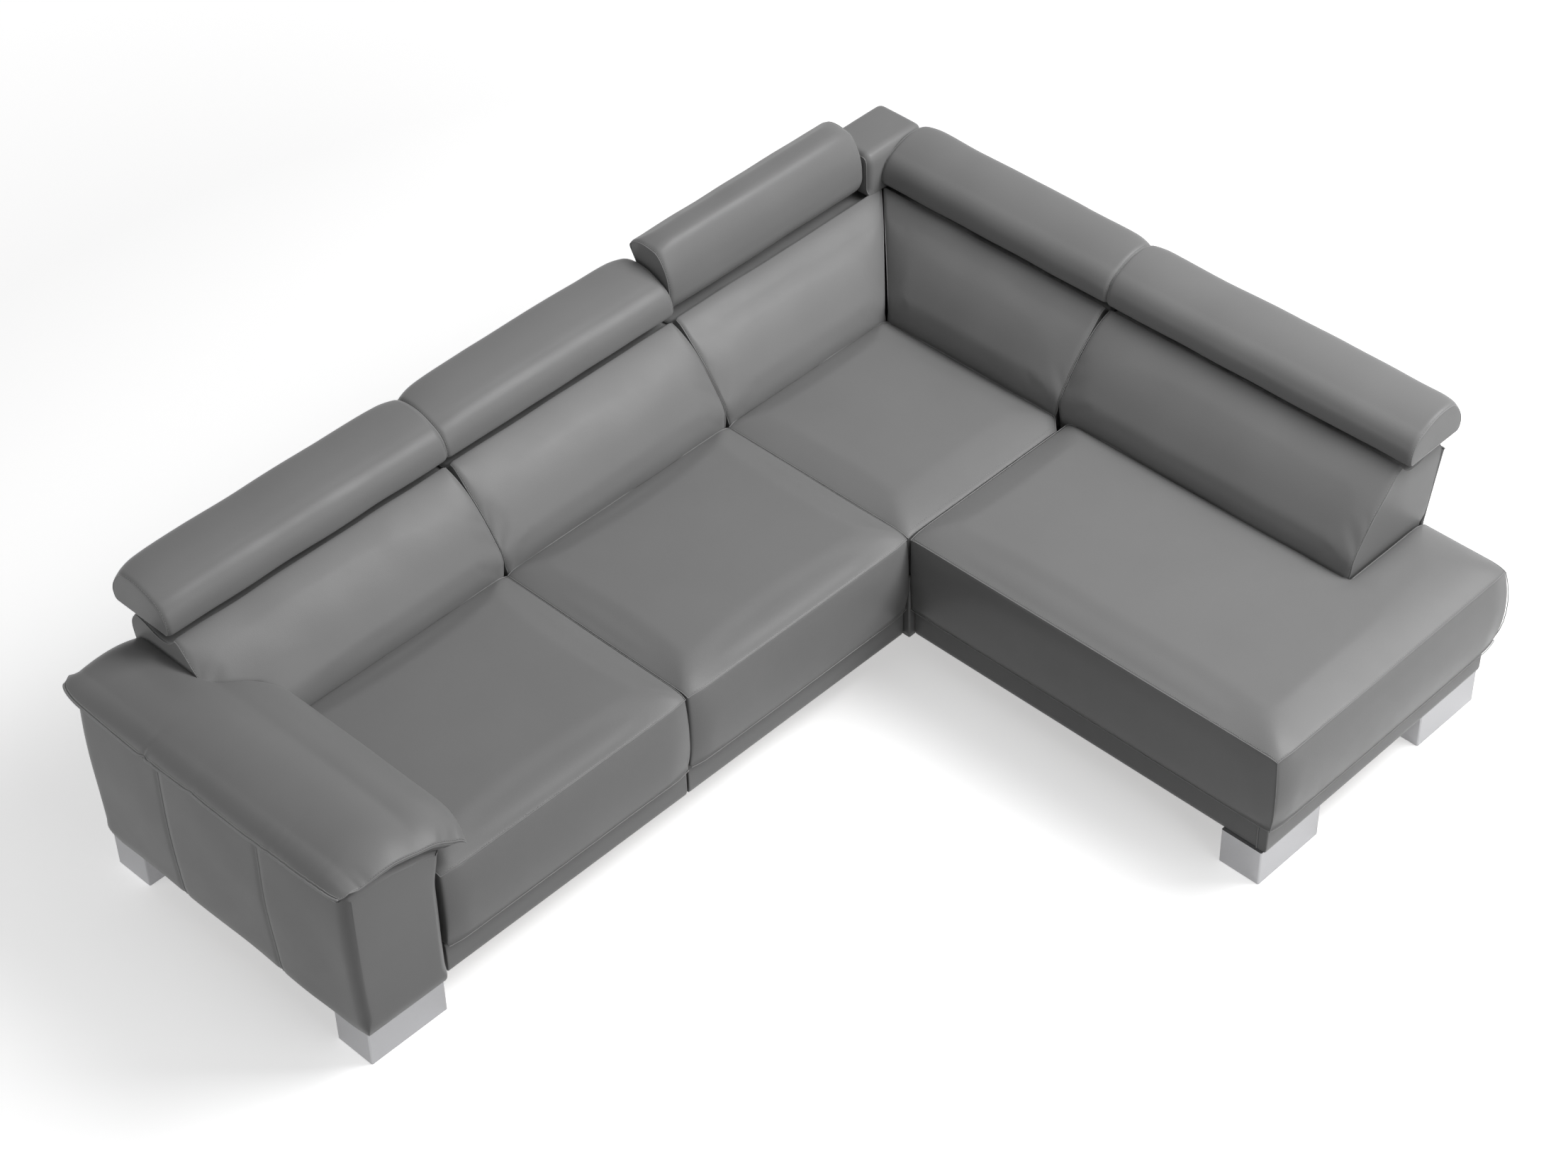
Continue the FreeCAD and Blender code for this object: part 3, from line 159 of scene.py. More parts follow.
def drawn(start, *steps):
    """The points along an outline."""
    points = [start]
    for step in steps:
        if isinstance(step[0], tuple):
            points += arc(points[-1], *step)
        else:
            points.append(step)
    return np.array(points, float)


def shares(count, ease):
    """Places from 0 to 1, closer together towards both ends."""
    t = np.linspace(0, 1, count + 1)
    return (1 - ease) * t + ease * (0.5 - 0.5 * np.cos(math.pi * t))


def clamped(value):
    return float(np.clip(value, 0, 1))


def beside(distance, reach):
    """1 at an edge, falling to 0 at the given reach."""
    return max(0.0, 1 - distance / reach)


def rounded(distance, reach):
    """A quarter round, from 0 at an edge to 1 at the given reach."""
    return math.sqrt(1 - (1 - clamped(distance / reach)) ** 2)


def rolled(distance, reach):
    """The rise of a padded top from its seam: steep at first, level once past its reach."""
    return 1 - (1 - clamped(distance / reach)) ** 2.4


def run(points):
    """How far along a line each of its points lies."""
    return np.concatenate([[0], np.cumsum(np.linalg.norm(np.diff(points, axis=0), axis=1))])


def spread(points, places):
    """Points at the given shares of a line's length."""
    lengths = run(points)
    at = places * lengths[-1]
    return np.stack([np.interp(at, lengths, points[:, i]) for i in range(points.shape[1])], axis=1)


def softened(points, times):
    """A line whose inner points are evened out, with its ends kept."""
    points = points.copy()
    for _ in range(times):
        points[1:-1] = (points[:-2] + 2 * points[1:-1] + points[2:]) / 4
    return points


class Section:
    """A piece cut across: the grid of points between its front, top, rear and bottom lines."""

    def __init__(self, front, top, rear, bottom, counts, ease=0.55, soften=6):
        self.w = shares(counts[1], ease)
        self.v = shares(counts[0], ease)
        self.sides = [
            softened(spread(front, self.w), soften),
            softened(spread(top, self.v), soften),
            softened(spread(rear, self.w), soften),
            spread(bottom, self.v),
        ]
        front, top, rear, bottom = self.sides
        loop = np.concatenate([front[:-1], top[:-1], rear[:0:-1], bottom[:0:-1]])
        ahead = np.roll(loop, -1, axis=0) - loop
        ahead /= np.linalg.norm(ahead, axis=1)[:, None] + 1e-12
        along = ahead + np.roll(ahead, 1, axis=0)
        along /= np.linalg.norm(along, axis=1)[:, None] + 1e-12
        inward = np.stack([along[:, 1], -along[:, 0]], axis=1)
        n, m = len(self.w) - 1, len(self.v) - 1
        closed = np.concatenate([inward, inward[:1]])
        self.inward = [
            closed[: n + 1],
            closed[n : n + m + 1],
            closed[n + m : 2 * n + m + 1][::-1],
            closed[2 * n + m :][::-1],
        ]

    def grid(self, inset, hold):
        """Every point of the section, its outline moved in, but not at its foot where that is held."""
        kept = np.clip(self.w / 0.12, 0, 1) if hold else np.ones(len(self.w))
        pulls = [kept, np.ones(len(self.v)), kept, np.full(len(self.v), 0.0 if hold else 1.0)]
        front, top, rear, bottom = [
            side + inward * inset * pull[:, None] for side, inward, pull in zip(self.sides, self.inward, pulls)
        ]
        if hold:
            bottom = bottom.copy()
            bottom[0], bottom[-1] = front[0], rear[0]
        v, w = self.v[None, :, None], self.w[:, None, None]
        corners = (1 - v) * (1 - w) * front[0] + v * (1 - w) * rear[0] + (1 - v) * w * front[-1] + v * w * rear[-1]
        return (1 - v) * front[:, None] + v * rear[:, None] + (1 - w) * bottom[None] + w * top[None] - corners


def rounded_end(distance, reach, depth, crisp):
    """How far a piece is pulled in at a distance from its end. A crisp end stops short of a full
    round, so that its panels meet at an angle along their seam."""
    t = crisp + (1 - crisp) * clamped(distance / reach)
    return depth * (1 - np.sqrt(1 - (1 - t) ** 2)) / (1 - math.sqrt(1 - (1 - crisp) ** 2))


# Meshes


def shown(name, data):
    """A new object in the scene."""
    piece = bpy.data.objects.new(name, data)
    bpy.context.scene.collection.objects.link(piece)
    return piece


def skin(name, points, faces, material):
    """A smooth mesh with its faces turned outward."""
    mesh = bpy.data.meshes.new(name)
    mesh.from_pydata([tuple(p) for p in points], [], faces)
    bm = bmesh.new()
    bm.from_mesh(mesh)
    bmesh.ops.recalc_face_normals(bm, faces=bm.faces)
    for face in bm.faces:
        face.smooth = True
    bm.to_mesh(mesh)
    bm.free()
    mesh.materials.append(material)
    return shown(name, mesh)


def upholstered(name, section, length, place, edge, draw, dome=0.0, hold=True, pitch=0.014, crisp=0.3):
    """A soft piece of one section along a length. Edge is how far from its ends the rounding starts, draw
    how far it pulls in there, and dome how far an end panel stands out. Place gives the point for a share
    of the length, a distance along, and the section's two numbers. Returns the piece and its end seams."""
    count = max(8, round(length / pitch))
    inner = edge * 1.6 + shares(count, 0.2) * (length - 3.2 * edge)
    near = edge * np.array([0.0, 0.12, 0.3, 0.55, 0.85, 1.2])
    along = np.concatenate([near, inner, length - near[::-1]])
    count = len(along) - 1
    rows, columns = len(section.w), len(section.v)
    points, numbers = [], []
    for i, x in enumerate(along):
        pull = rounded_end(x, edge, draw, crisp) + rounded_end(length - x, edge, draw, crisp)
        grid = section.grid(pull, hold)
        last = i in (0, count)
        table = {}
        for k in range(rows):
            for j in range(columns):
                rim = k in (0, rows - 1) or j in (0, columns - 1)
                if not rim and not last:
                    continue
                out = 0.0
                if last and not rim:
                    v, w = section.v[j], section.w[k]
                    out = dome * (16 * v * (1 - v) * w * (1 - w)) ** 0.4
                    out = -out if i == 0 else out
                table[k, j] = len(points)
                points.append(place(x / length, x, grid[k, j], out))
        numbers.append(table)
    loop = [(k, 0) for k in range(rows)] + [(rows - 1, j) for j in range(1, columns)]
    loop += [(k, columns - 1) for k in range(rows - 2, -1, -1)] + [(0, j) for j in range(columns - 2, 0, -1)]
    faces = []
    for here, there in zip(numbers, numbers[1:]):
        for a, b in zip(loop, loop[1:] + loop[:1]):
            faces.append((here[a], here[b], there[b], there[a]))
    for table in (numbers[0], numbers[-1]):
        for k in range(rows - 1):
            for j in range(columns - 1):
                faces.append((table[k, j], table[k, j + 1], table[k + 1, j + 1], table[k + 1, j]))
    piece = skin(name, points, faces, LEATHER)
    open_loop = [key for key in loop if key[0] > 0 or not hold]
    closing = [] if hold else [open_loop[0]]
    seams = [[points[table[key]] for key in open_loop + closing] for table in (numbers[0], numbers[-1])]
    return piece, seams


def smooth(piece):
    """One subdivision, so that the padding reads as soft."""
    modifier = piece.modifiers.new("smooth", "SUBSURF")
    modifier.levels = modifier.render_levels = 1


def uneven(piece, depth, stretch, seed):
    """Shallow hollows and rises of the padding under its leather."""
    offset = Vector((seed * 7.3, seed * 3.1, seed * 5.7))
    mesh = piece.data
    normals = [v.normal.copy() for v in mesh.vertices]
    for vertex, normal in zip(mesh.vertices, normals):
        at = Vector([a * s for a, s in zip(vertex.co, stretch)])
        vertex.co += normal * depth * noise.noise(at + offset)


def settled(piece, held):
    """Cloth simulation: pressed from inside by its filling, the leather swells and draws tight while its
    seams and its hidden sides are held. The result is kept in the mesh."""
    mesh = piece.data
    start = [v.co.copy() for v in mesh.vertices]
    fixed = piece.vertex_groups.new(name="held")
    fixed.add([i for i, point in enumerate(start) if held(point)], 1.0, "REPLACE")
    modifier = piece.modifiers.new("settling", "CLOTH")
    for key, value in SETTLING.items():
        setattr(modifier.settings, key, value)
    modifier.settings.vertex_group_mass = "held"
    modifier.settings.effector_weights.gravity = 0.0
    modifier.collision_settings.use_collision = False
    modifier.point_cache.frame_end = SETTLING_STEPS
    for step in range(1, SETTLING_STEPS + 1):
        bpy.context.scene.frame_set(step)
    shape = piece.evaluated_get(bpy.context.evaluated_depsgraph_get()).data
    moves = [after.co - before for after, before in zip(shape.vertices, start)]
    bpy.context.scene.frame_set(1)
    piece.modifiers.remove(modifier)
    piece.vertex_groups.clear()
    for vertex, before, move in zip(mesh.vertices, start, moves):
        vertex.co = before + move * min(1.0, SETTLING_LIMIT / max(move.length, 1e-9))


def near_line(lines, reach=0.004):
    """Tells whether a point lies on one of some seams."""
    points = [Vector(p) for line in lines for p in line]
    tree = KDTree(len(points))
    for number, point in enumerate(points):
        tree.insert(point, number)
    tree.balance()
    return lambda point: tree.find(point)[2] < reach


def closest(piece):
    """Gives the nearest point of a piece's surface, and its normal there."""
    tree = BVHTree.FromPolygons([v.co for v in piece.data.vertices], [p.vertices for p in piece.data.polygons])

    def found(point):
        place, normal, _, _ = tree.find_nearest(Vector(point))
        return place, normal

    return found


def stitches(name, piece, line, offset, body="root"):
    """A row of thread beside a seam, each stitch a short rounded bar lying on the leather."""
    surface = closest(piece)
    line = np.array(line, float)
    lengths = run(line)
    bm = bmesh.new()
    sides = 6
    turns = [math.tau * i / sides for i in range(sides)]
    for at in np.arange(STITCH_PITCH, lengths[-1] - STITCH_PITCH, STITCH_PITCH):
        here, there = [
            Vector([np.interp(at + d, lengths, line[:, i]) for i in range(3)]) for d in (0, STITCH_LENGTH)
        ]
        ends = []
        for point in (here, there):
            on, normal = surface(point)
            off_seam = (there - here).normalized().cross(normal) * offset
            on, normal = surface(point + off_seam)
            ends.append(on + normal * 0.0001)
        along = (ends[1] - ends[0]).normalized()
        across = along.cross(normal)
        rings = []
        for share, radius in ((0.0, 0.25), (0.15, 0.9), (0.5, 1.0), (0.85, 0.9), (1.0, 0.25)):
            middle = ends[0].lerp(ends[1], share)
            round_it = [across * math.cos(t) * 1.2 + normal * math.sin(t) for t in turns]
            rings.append([bm.verts.new(middle + out * STITCH_RADIUS * radius) for out in round_it])
        for a, b in zip(rings, rings[1:]):
            for i in range(sides):
                bm.faces.new((a[i], a[(i + 1) % sides], b[(i + 1) % sides], b[i]))
        bm.faces.new(rings[0][::-1])
        bm.faces.new(rings[-1])
    for face in bm.faces:
        face.smooth = True
    mesh = bpy.data.meshes.new(name)
    bm.to_mesh(mesh)
    bm.free()
    mesh.materials.append(THREAD)
    row = shown(name, mesh)
    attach(row, body)


def seam_line(name, points, radius=SEAM_RADIUS, body="root"):
    """The thin rolled edge of a seam, as a round line along it, in lighter leather as a painted highlight."""
    curve = bpy.data.curves.new(name, "CURVE")
    curve.dimensions = "3D"
    curve.bevel_depth = radius
    curve.bevel_resolution = 2
    curve.use_fill_caps = True
    spline = curve.splines.new("POLY")
    spline.points.add(len(points) - 1)
    for target, point in zip(spline.points, points):
        target.co = (*point, 1)
    # Painted highlight: the seam's line gets the lighter leather.
    curve.materials.append(SEAM_HIGHLIGHT_LEATHER)
    piece = shown(name, curve)
    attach(piece, body)


# Materials


def shader(name):
    """An empty material with its Principled shader."""
    material = bpy.data.materials.new(name)
    material.use_nodes = True
    return material, material.node_tree, material.node_tree.nodes["Principled BSDF"]


def feed(tree, node, **values):
    """Sets a node's sockets, or links them where the value is another node's socket. A socket's name is
    written with low lines, and one without a name of its own by its number, as in _0."""
    for label, value in values.items():
        socket = node.inputs[int(label[1:]) if label[0] == "_" else label.replace("_", " ")]
        if isinstance(value, bpy.types.NodeSocket):
            tree.links.new(value, socket)
        else:
            socket.default_value = value
    return node


def add(tree, kind, settings=(), **values):
    """A new node with its settings and its sockets' values."""
    node = tree.nodes.new("ShaderNode" + kind)
    for key, value in dict(settings).items():
        setattr(node, key, value)
    return feed(tree, node, **values)


def math_node(tree, operation, first, second):
    return add(tree, "Math", {"operation": operation}, _0=first, _1=second).outputs["Value"]


def mapped(tree, value, low, high):
    return add(tree, "MapRange", Value=value, To_Min=low, To_Max=high).outputs["Result"]


def blended(tree, share, dark, light):
    """A colour between two others."""
    return add(tree, "Mix", {"data_type": "RGBA"}, Factor=share, A=dark, B=light).outputs["Result"]


def own_place(tree):
    return add(tree, "TexCoord").outputs["Object"]


def group(name, inputs, outputs):
    """A node group of numbers, with its two end nodes."""
    tree = bpy.data.node_groups.new(name, "ShaderNodeTree")
    for label, value in inputs.items():
        tree.interface.new_socket(label, in_out="INPUT", socket_type="NodeSocketFloat").default_value = value
    for label in outputs:
        tree.interface.new_socket(label, in_out="OUTPUT", socket_type="NodeSocketFloat")
    return tree, tree.nodes.new("NodeGroupInput").outputs, tree.nodes.new("NodeGroupOutput")


def hide_grain():
    """Leather's pebbles and fine creases, as a height, and the soft mottling of its dye."""
    tree, start, end = group(
        "hide_grain", {"Pebble Scale": 700.0, "Crease Depth": 0.5}, ("Height", "Mottling", "Polish")
    )
    place = own_place(tree)
    pebbles = add(tree, "TexVoronoi", {"feature": "SMOOTH_F1"}, Vector=place, Scale=start["Pebble Scale"])
    creases = add(tree, "TexNoise", Vector=place, Scale=60.0, Detail=5.0, Distortion=0.8)
    deep = math_node(tree, "MULTIPLY", creases.outputs["Fac"], start["Crease Depth"])
    feed(
        tree,
        end,
        Height=math_node(tree, "ADD", pebbles.outputs["Distance"], deep),
        Mottling=add(tree, "TexNoise", Vector=place, Scale=4.5, Detail=4.0).outputs["Fac"],
        Polish=add(tree, "TexNoise", Vector=place, Scale=14.0, Detail=6.0).outputs["Fac"],
    )
    return tree


def edge_wear():
    """Where a surface turns outward most: rolled edges that sleeves and legs rub."""
    tree, start, end = group("edge_wear", {"Low": 0.5, "High": 0.6}, ("Rubbed",))
    turned = add(tree, "NewGeometry").outputs["Pointiness"]
    span = add(tree, "MapRange", Value=turned, From_Min=start["Low"], From_Max=start["High"])
    spots = add(tree, "TexNoise", Vector=own_place(tree), Scale=22.0, Detail=4.0)
    feed(tree, end, Rubbed=math_node(tree, "MULTIPLY", span.outputs["Result"], spots.outputs["Fac"]))
    return tree


GRAIN = hide_grain()
WEAR = edge_wear()


def leather(name, shade, roughness, bump):
    """Dyed smooth leather: its grain, its mottled dye, and its lighter rubbed edges."""
    material, tree, body = shader(name)
    grain = add(tree, "Group", {"node_tree": GRAIN}).outputs
    wear = add(tree, "Group", {"node_tree": WEAR}).outputs
    dark, light, paler = [(*(c * step for c in shade), 1) for step in (0.94, 1.06, 1.28)]
    relief = add(tree, "Bump", Height=grain["Height"], Strength=bump, Distance=0.0006)
    feed(
        tree,
        body,
        Base_Color=blended(tree, wear["Rubbed"], blended(tree, grain["Mottling"], dark, light), paler),
        Roughness=mapped(tree, grain["Polish"], roughness - 0.07, roughness + 0.07),
        Normal=relief.outputs["Normal"],
        Specular_IOR_Level=0.22,
        Sheen_Weight=0.04,
        Sheen_Roughness=0.5,
    )
    return material


def plain_stock(name, dark, light, scale, stretch, roughness, metallic=0.0, bump=0.15):
    """A solid material whose colour and relief follow one stretched pattern."""
    material, tree, body = shader(name)
    place = add(tree, "Mapping", Vector=own_place(tree), Scale=stretch).outputs["Vector"]
    pattern = add(tree, "TexNoise", Vector=place, Scale=scale).outputs["Fac"]
    relief = add(tree, "Bump", Height=pattern, Strength=bump, Distance=0.0005)
    feed(
        tree,
        body,
        Base_Color=blended(tree, pattern, (*dark, 1), (*light, 1)),
        Metallic=metallic,
        Roughness=mapped(tree, pattern, roughness - 0.05, roughness + 0.05),
        Normal=relief.outputs["Normal"],
    )
    return material


EVEN = (1, 1, 1)
LEATHER = leather("grey_leather", (0.205, 0.205, 0.205), 0.36, 0.25)
# The seams' leather is a lighter copy of the cushions' leather: a painted highlight for the light their rolled edges
# catch.
SEAM_HIGHLIGHT_LEATHER = leather("seam_edge_leather", (0.25, 0.25, 0.25), 0.45, 0.2)
THREAD = plain_stock("grey_thread", (0.20, 0.20, 0.20), (0.34, 0.34, 0.34), 900.0, EVEN, 0.6)
FOOT_METAL = plain_stock("satin_foot_metal", (0.36, 0.36, 0.37), (0.42, 0.42, 0.43), 90.0, (1, 1, 14), 0.3, 0.9, 0.05)
WOOD = plain_stock("beech_frame_wood", (0.42, 0.27, 0.15), (0.60, 0.42, 0.25), 12.0, (1, 9, 9), 0.6)
FOAM = plain_stock("cut_foam", (0.70, 0.66, 0.52), (0.80, 0.76, 0.62), 260.0, EVEN, 0.9, 0.0, 0.6)
STRAP = plain_stock("woven_webbing", (0.03, 0.03, 0.035), (0.10, 0.10, 0.11), 320.0, EVEN, 0.8, 0.0, 0.8)
STEEL = plain_stock("plated_hinge_steel", (0.36, 0.36, 0.37), (0.48, 0.48, 0.49), 60.0, (1, 1, 6), 0.34, 0.95, 0.08)
SCREW = plain_stock("zinc_screw_steel", (0.50, 0.49, 0.45), (0.62, 0.61, 0.57), 120.0, EVEN, 0.3, 1.0, 0.05)
PLASTIC = plain_stock("black_support_plastic", (0.014, 0.014, 0.014), (0.03, 0.03, 0.03), 300.0, EVEN, 0.5)

STOCK = {
    "leather_cushion": LEATHER,
    "leather_panel": LEATHER,
    "foot_metal": FOOT_METAL,
    "frame_wood": WOOD,
    "foam": FOAM,
    "webbing": STRAP,
    "hinge_steel": STEEL,
    "screw_steel": SCREW,
    "support_plastic": PLASTIC,
}
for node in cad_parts.values():
    for holder in node.material_slots:
        holder.material = STOCK[holder.material.name.split(".")[0]]

# Seats


def dressed(piece, seams, node, body="root"):
    """Puts a finished soft piece in place of its CAD solid, with its seam lines."""
    smooth(piece)
    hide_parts(node)
    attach(piece, body)
    for number, points in enumerate(seams, 1):
        seam_line(f"{piece.name}_seam_{number}", points, body=body)


def lined(low, high, pitch, extra=()):
    """Grid places between two ends, closer at both, with the extra ones among them."""
    count = max(4, round((high - low) / pitch))
    places = list(low + shares(count, 0.45) * (high - low))
    for value in extra:
        nearest = min(range(1, count), key=lambda i: abs(places[i] - value))
        places[nearest] = value
    return places


def slab(xs, ys, covered, top, foot, bulges, rows=11):
    """A boxed seat over a plan of square fields: a crowned top, bulging sides and a flat underside.
    Gives its points and faces, its top seam in order round the plan, and its upright corner seams."""
    points, faces, tops, feet = [], [], {}, {}
    used = {(i, j) for i in range(len(xs) - 1) for j in range(len(ys) - 1) if covered(i, j)}
    corners = {(i + a, j + b) for i, j in used for a in (0, 1) for b in (0, 1)}
    outward = {}
    rim = []
    for i, j in used:
        for (a, b), step in (
            (((i, j), (i + 1, j)), (0, -1)),
            (((i + 1, j), (i + 1, j + 1)), (1, 0)),
            (((i + 1, j + 1), (i, j + 1)), (0, 1)),
            (((i, j + 1), (i, j)), (-1, 0)),
        ):
            if (i + step[0], j + step[1]) not in used:
                rim.append((a, b))
                for corner in (a, b):
                    outward.setdefault(corner, set()).add(step)
    for i, j in corners:
        x, y = xs[i], ys[j]
        tops[i, j] = len(points)
        points.append((x, y, top(x, y)))
        feet[i, j] = len(points)
        points.append((x, y, foot(x, y)))
    for i, j in used:
        field = [(i, j), (i + 1, j), (i + 1, j + 1), (i, j + 1)]
        faces.append(tuple(tops[c] for c in field))
        faces.append(tuple(feet[c] for c in field))
    walls = {}
    for corner, steps in outward.items():
        x, y = xs[corner[0]], ys[corner[1]]
        step = np.sum([np.array(s) for s in steps], axis=0)
        low, high = points[feet[corner]][2], points[tops[corner]][2]
        column = [feet[corner]]
        for k in range(1, rows):
            share = 0.5 - 0.5 * math.cos(math.pi * k / rows)
            out = bulges(x, y, share, step)
            column.append(len(points))
            points.append((x + step[0] * out[0], y + step[1] * out[1], low + (high - low) * share))
        column.append(tops[corner])
        walls[corner] = column
    for a, b in rim:
        for k in range(rows):
            faces.append((walls[a][k], walls[b][k], walls[b][k + 1], walls[a][k + 1]))
    following = dict(rim)
    here = min(following)
    order = [here]
    while following[order[-1]] != here:
        order.append(following[order[-1]])
    seam = [points[tops[c]] for c in order + [here]]
    corner_seams = [[points[n] for n in walls[c]] for c in order if len(outward[c]) == 2]
    return points, faces, seam, corner_seams


def dipped(*edges):
    """How far a top lies below its height near its seams, from each one's depth, distance and reach."""
    return sum((depth * (1 - rolled(distance, reach))) ** 3 for depth, distance, reach in edges) ** (1 / 3)


def seat_top(low, high, front_reach, side_reach):
    """Heights over a seat: it rolls up from its front seam, dips a little to its other seams and is
    fullest in the middle."""

    def height(x, y):
        side, rear = min(x - low[0], high[0] - x), high[1] - y
        drop = dipped(
            (FRONT_ROLL, y - low[1], front_reach), (SIDE_ROLL, side, side_reach), (REAR_ROLL, rear, side_reach / 2)
        )
        crown = SEAT_CROWN * rolled(side, 0.25) * rolled(min(y - low[1], rear), 0.25)
        return SEAT_TOP + crown - drop

    return height


def swelled(share, depth):
    """How far a boxed side stands out at a share of its height."""
    return depth * math.sin(math.pi * share) ** 0.8 - FALL_TUCK * (1 - share) ** 2.5


def long_seat(number):
    """A seat of the long side: it falls over the frame's front rail."""
    node = f"seat_cover_{number}"
    low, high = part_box(node)
    front = 0.066
    xs = lined(low.x + SEAM_GAP, high.x - SEAM_GAP, SEAT_PITCH)
    ys = lined(front, high.y - SEAM_GAP, SEAT_PITCH, (front + FALL_DEPTH - 0.001, front + FALL_DEPTH + 0.012))

    def foot(x, y):
        return FALL_BOTTOM if y < front + FALL_DEPTH else FRAME_TOP

    def bulges(x, y, share, step):
        full = 0.35 + 0.65 * rolled(min(x - xs[0], xs[-1] - x), 0.06)
        ahead = swelled(share, SEAT_BULGE * full) if step[1] < 0 else 0.0
        return 0.001 * math.sin(math.pi * share), ahead

    top = seat_top((xs[0], ys[0]), (xs[-1], ys[-1]), 0.090, 0.075)
    points, faces, seam, _ = slab(xs, ys, lambda i, j: True, top, foot, bulges)
    points, seam = [[drawn_corner(p, (xs[0], xs[-1]), front) for p in line] for line in (points, seam)]
    piece = skin(f"seat_{number}_cushion", points, faces, LEATHER)
    uneven(piece, 0.0016, (5, 4, 4), number)
    sewn = near_line([seam])
    hidden = xs[0] + 0.003, xs[-1] - 0.003, ys[-1] - 0.003, FALL_BOTTOM + 0.004
    settled(piece, lambda p: not hidden[0] < p.x < hidden[1] or p.y > hidden[2] or p.z < hidden[3] or sewn(p))
    near = closest(piece)
    hem = [near((x, front - 0.01, FALL_BOTTOM + 0.002))[0] for x in xs]
    dressed(piece, [seam, hem], node)
    stitches(f"seat_{number}_stitches", piece, [p for p in seam if p[1] < front + 0.012][1:-1], -0.005)


def drawn_corner(point, sides, front):
    """Pulls a seat's front corners in, where its top, front and side panels are sewn together."""
    x, y, z = point
    side = min(x - sides[0], sides[1] - x)
    share = ((1 - clamped(side / 0.05)) * (1 - clamped((y - front) / 0.05))) ** 1.5
    high = clamped((z - FALL_BOTTOM) / (SEAM_HEIGHT - FALL_BOTTOM))
    low = 1 - clamped((z - FALL_BOTTOM) / 0.05)
    inward = 0.0025 * max(high**3, low) * share
    return (x + (inward if x < sum(sides) / 2 else -inward), y + 0.007 * share * max(high**2, low), z)


def corner_seat():
    """The square seat in the corner, bevelled where the short side's backs part."""
    node = "seat_cover_corner"
    low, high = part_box(node)
    front = 0.0745
    bevel = 0.034
    xs = lined(low.x + SEAM_GAP, high.x - SEAM_GAP, SEAT_PITCH)
    ys = lined(front, high.y - SEAM_GAP, SEAT_PITCH)
    top = seat_top((xs[0], ys[0]), (xs[-1], ys[-1]), 0.11, 0.075)

    def bulges(x, y, share, step):
        return (0.001 * math.sin(math.pi * share),) * 2

    points, faces, seam, _ = slab(xs, ys, lambda i, j: True, top, lambda x, y: FRAME_TOP, bulges)

    def bevelled(p):
        wide = xs[-1] - xs[0]
        short = max(0.0, bevel - (p[1] - front))
        return (xs[0] + (p[0] - xs[0]) * (wide - short) / wide, p[1], p[2])

    piece = skin("corner_seat_cushion", [bevelled(p) for p in points], faces, LEATHER)
    uneven(piece, 0.0016, (5, 4, 4), 3)
    seam = [bevelled(p) for p in seam]
    sewn = near_line([seam])
    settled(piece, lambda p: p.z < SEAM_HEIGHT - 0.006 or sewn(p))
    dressed(piece, [seam], node)
    stitches("corner_seat_stitches", piece, [p for p in seam if p[1] < front + 0.012][1:-1], 0.005)


def lounger_seat():
    """The long seat with the open end: it passes in front of back 5 and round its end."""
    node = "seat_cover_lounger"
    left, right = 0.4225, 1.2985
    front, rear = -1.050, 0.065
    inner, turn = 1.003, -0.8055
    xs, ys = lined(left, right, 0.015, (inner,)), lined(front, rear, 0.015, (turn,))
    open_x, open_y = xs.index(inner), ys.index(turn)

    def covered(i, j):
        return i < open_x or j < open_y

    def top(x, y):
        to_back = math.hypot(max(0.0, inner - x), max(0.0, turn - y))
        drop = dipped(
            (FRONT_ROLL, y - front, 0.12),
            (FRONT_ROLL, x - left, 0.10),
            (FRONT_ROLL, right - x, 0.10),
            (SIDE_ROLL, rear - y, 0.075),
            (REAR_ROLL, to_back, 0.035),
        )
        edges = min(x - left, right - x if y < turn else inner - x + 0.15), min(y - front, rear - y)
        crown = SEAT_CROWN * rolled(edges[0], 0.3) * rolled(edges[1], 0.3)
        return SEAT_TOP + crown - drop

    def bulges(x, y, share, step):
        depth = 0.35 + 0.65 * rolled(min(rear - y, max(y - front, x - left)), 0.07)
        out = swelled(share, SEAT_BULGE * depth)
        swells = (step[0] < 0 or (step[0] > 0 and y < turn - 0.01)), step[1] < 0
        return tuple(out if side else 0.0 for side in swells)

    points, faces, seam, corner_seams = slab(xs, ys, covered, top, lambda x, y: FALL_BOTTOM, bulges)
    outer = [line for line in corner_seams if line[0][1] < front + 0.02]
    points, seam, *outer = [[drawn_corner(p, (left, right), front) for p in line] for line in (points, seam, *outer)]
    piece = skin("lounger_cushion", points, faces, LEATHER)
    uneven(piece, 0.002, (4, 3, 4), 4)
    sewn = near_line([seam, *outer])

    def held(p):
        behind = p.y > rear - 0.003 or (p.x > inner - 0.003 and p.y > turn - 0.003 and p.z < SEAM_HEIGHT - 0.006)
        return behind or p.z < FALL_BOTTOM + 0.004 or sewn(p)

    settled(piece, held)
    near = closest(piece)
    hem = [near((left - 0.01, y, FALL_BOTTOM + 0.002))[0] for y in ys[::-1]]
    hem += [near((x, front - 0.01, FALL_BOTTOM + 0.002))[0] for x in xs[1:]]
    hem += [near((right + 0.01, y, FALL_BOTTOM + 0.002))[0] for y in ys[1 : open_y + 1]]
    dressed(piece, [seam, hem, *outer], node)
    ahead = sorted(p for p in seam if p[1] < front + 0.015)
    stitches("lounger_front_stitches", piece, ahead, -0.005)
    beside_seat = sorted((p for p in seam if p[0] < left + 0.012), key=lambda p: p[1])
    stitches("lounger_side_stitches", piece, beside_seat, 0.005)


# Backs and headrests


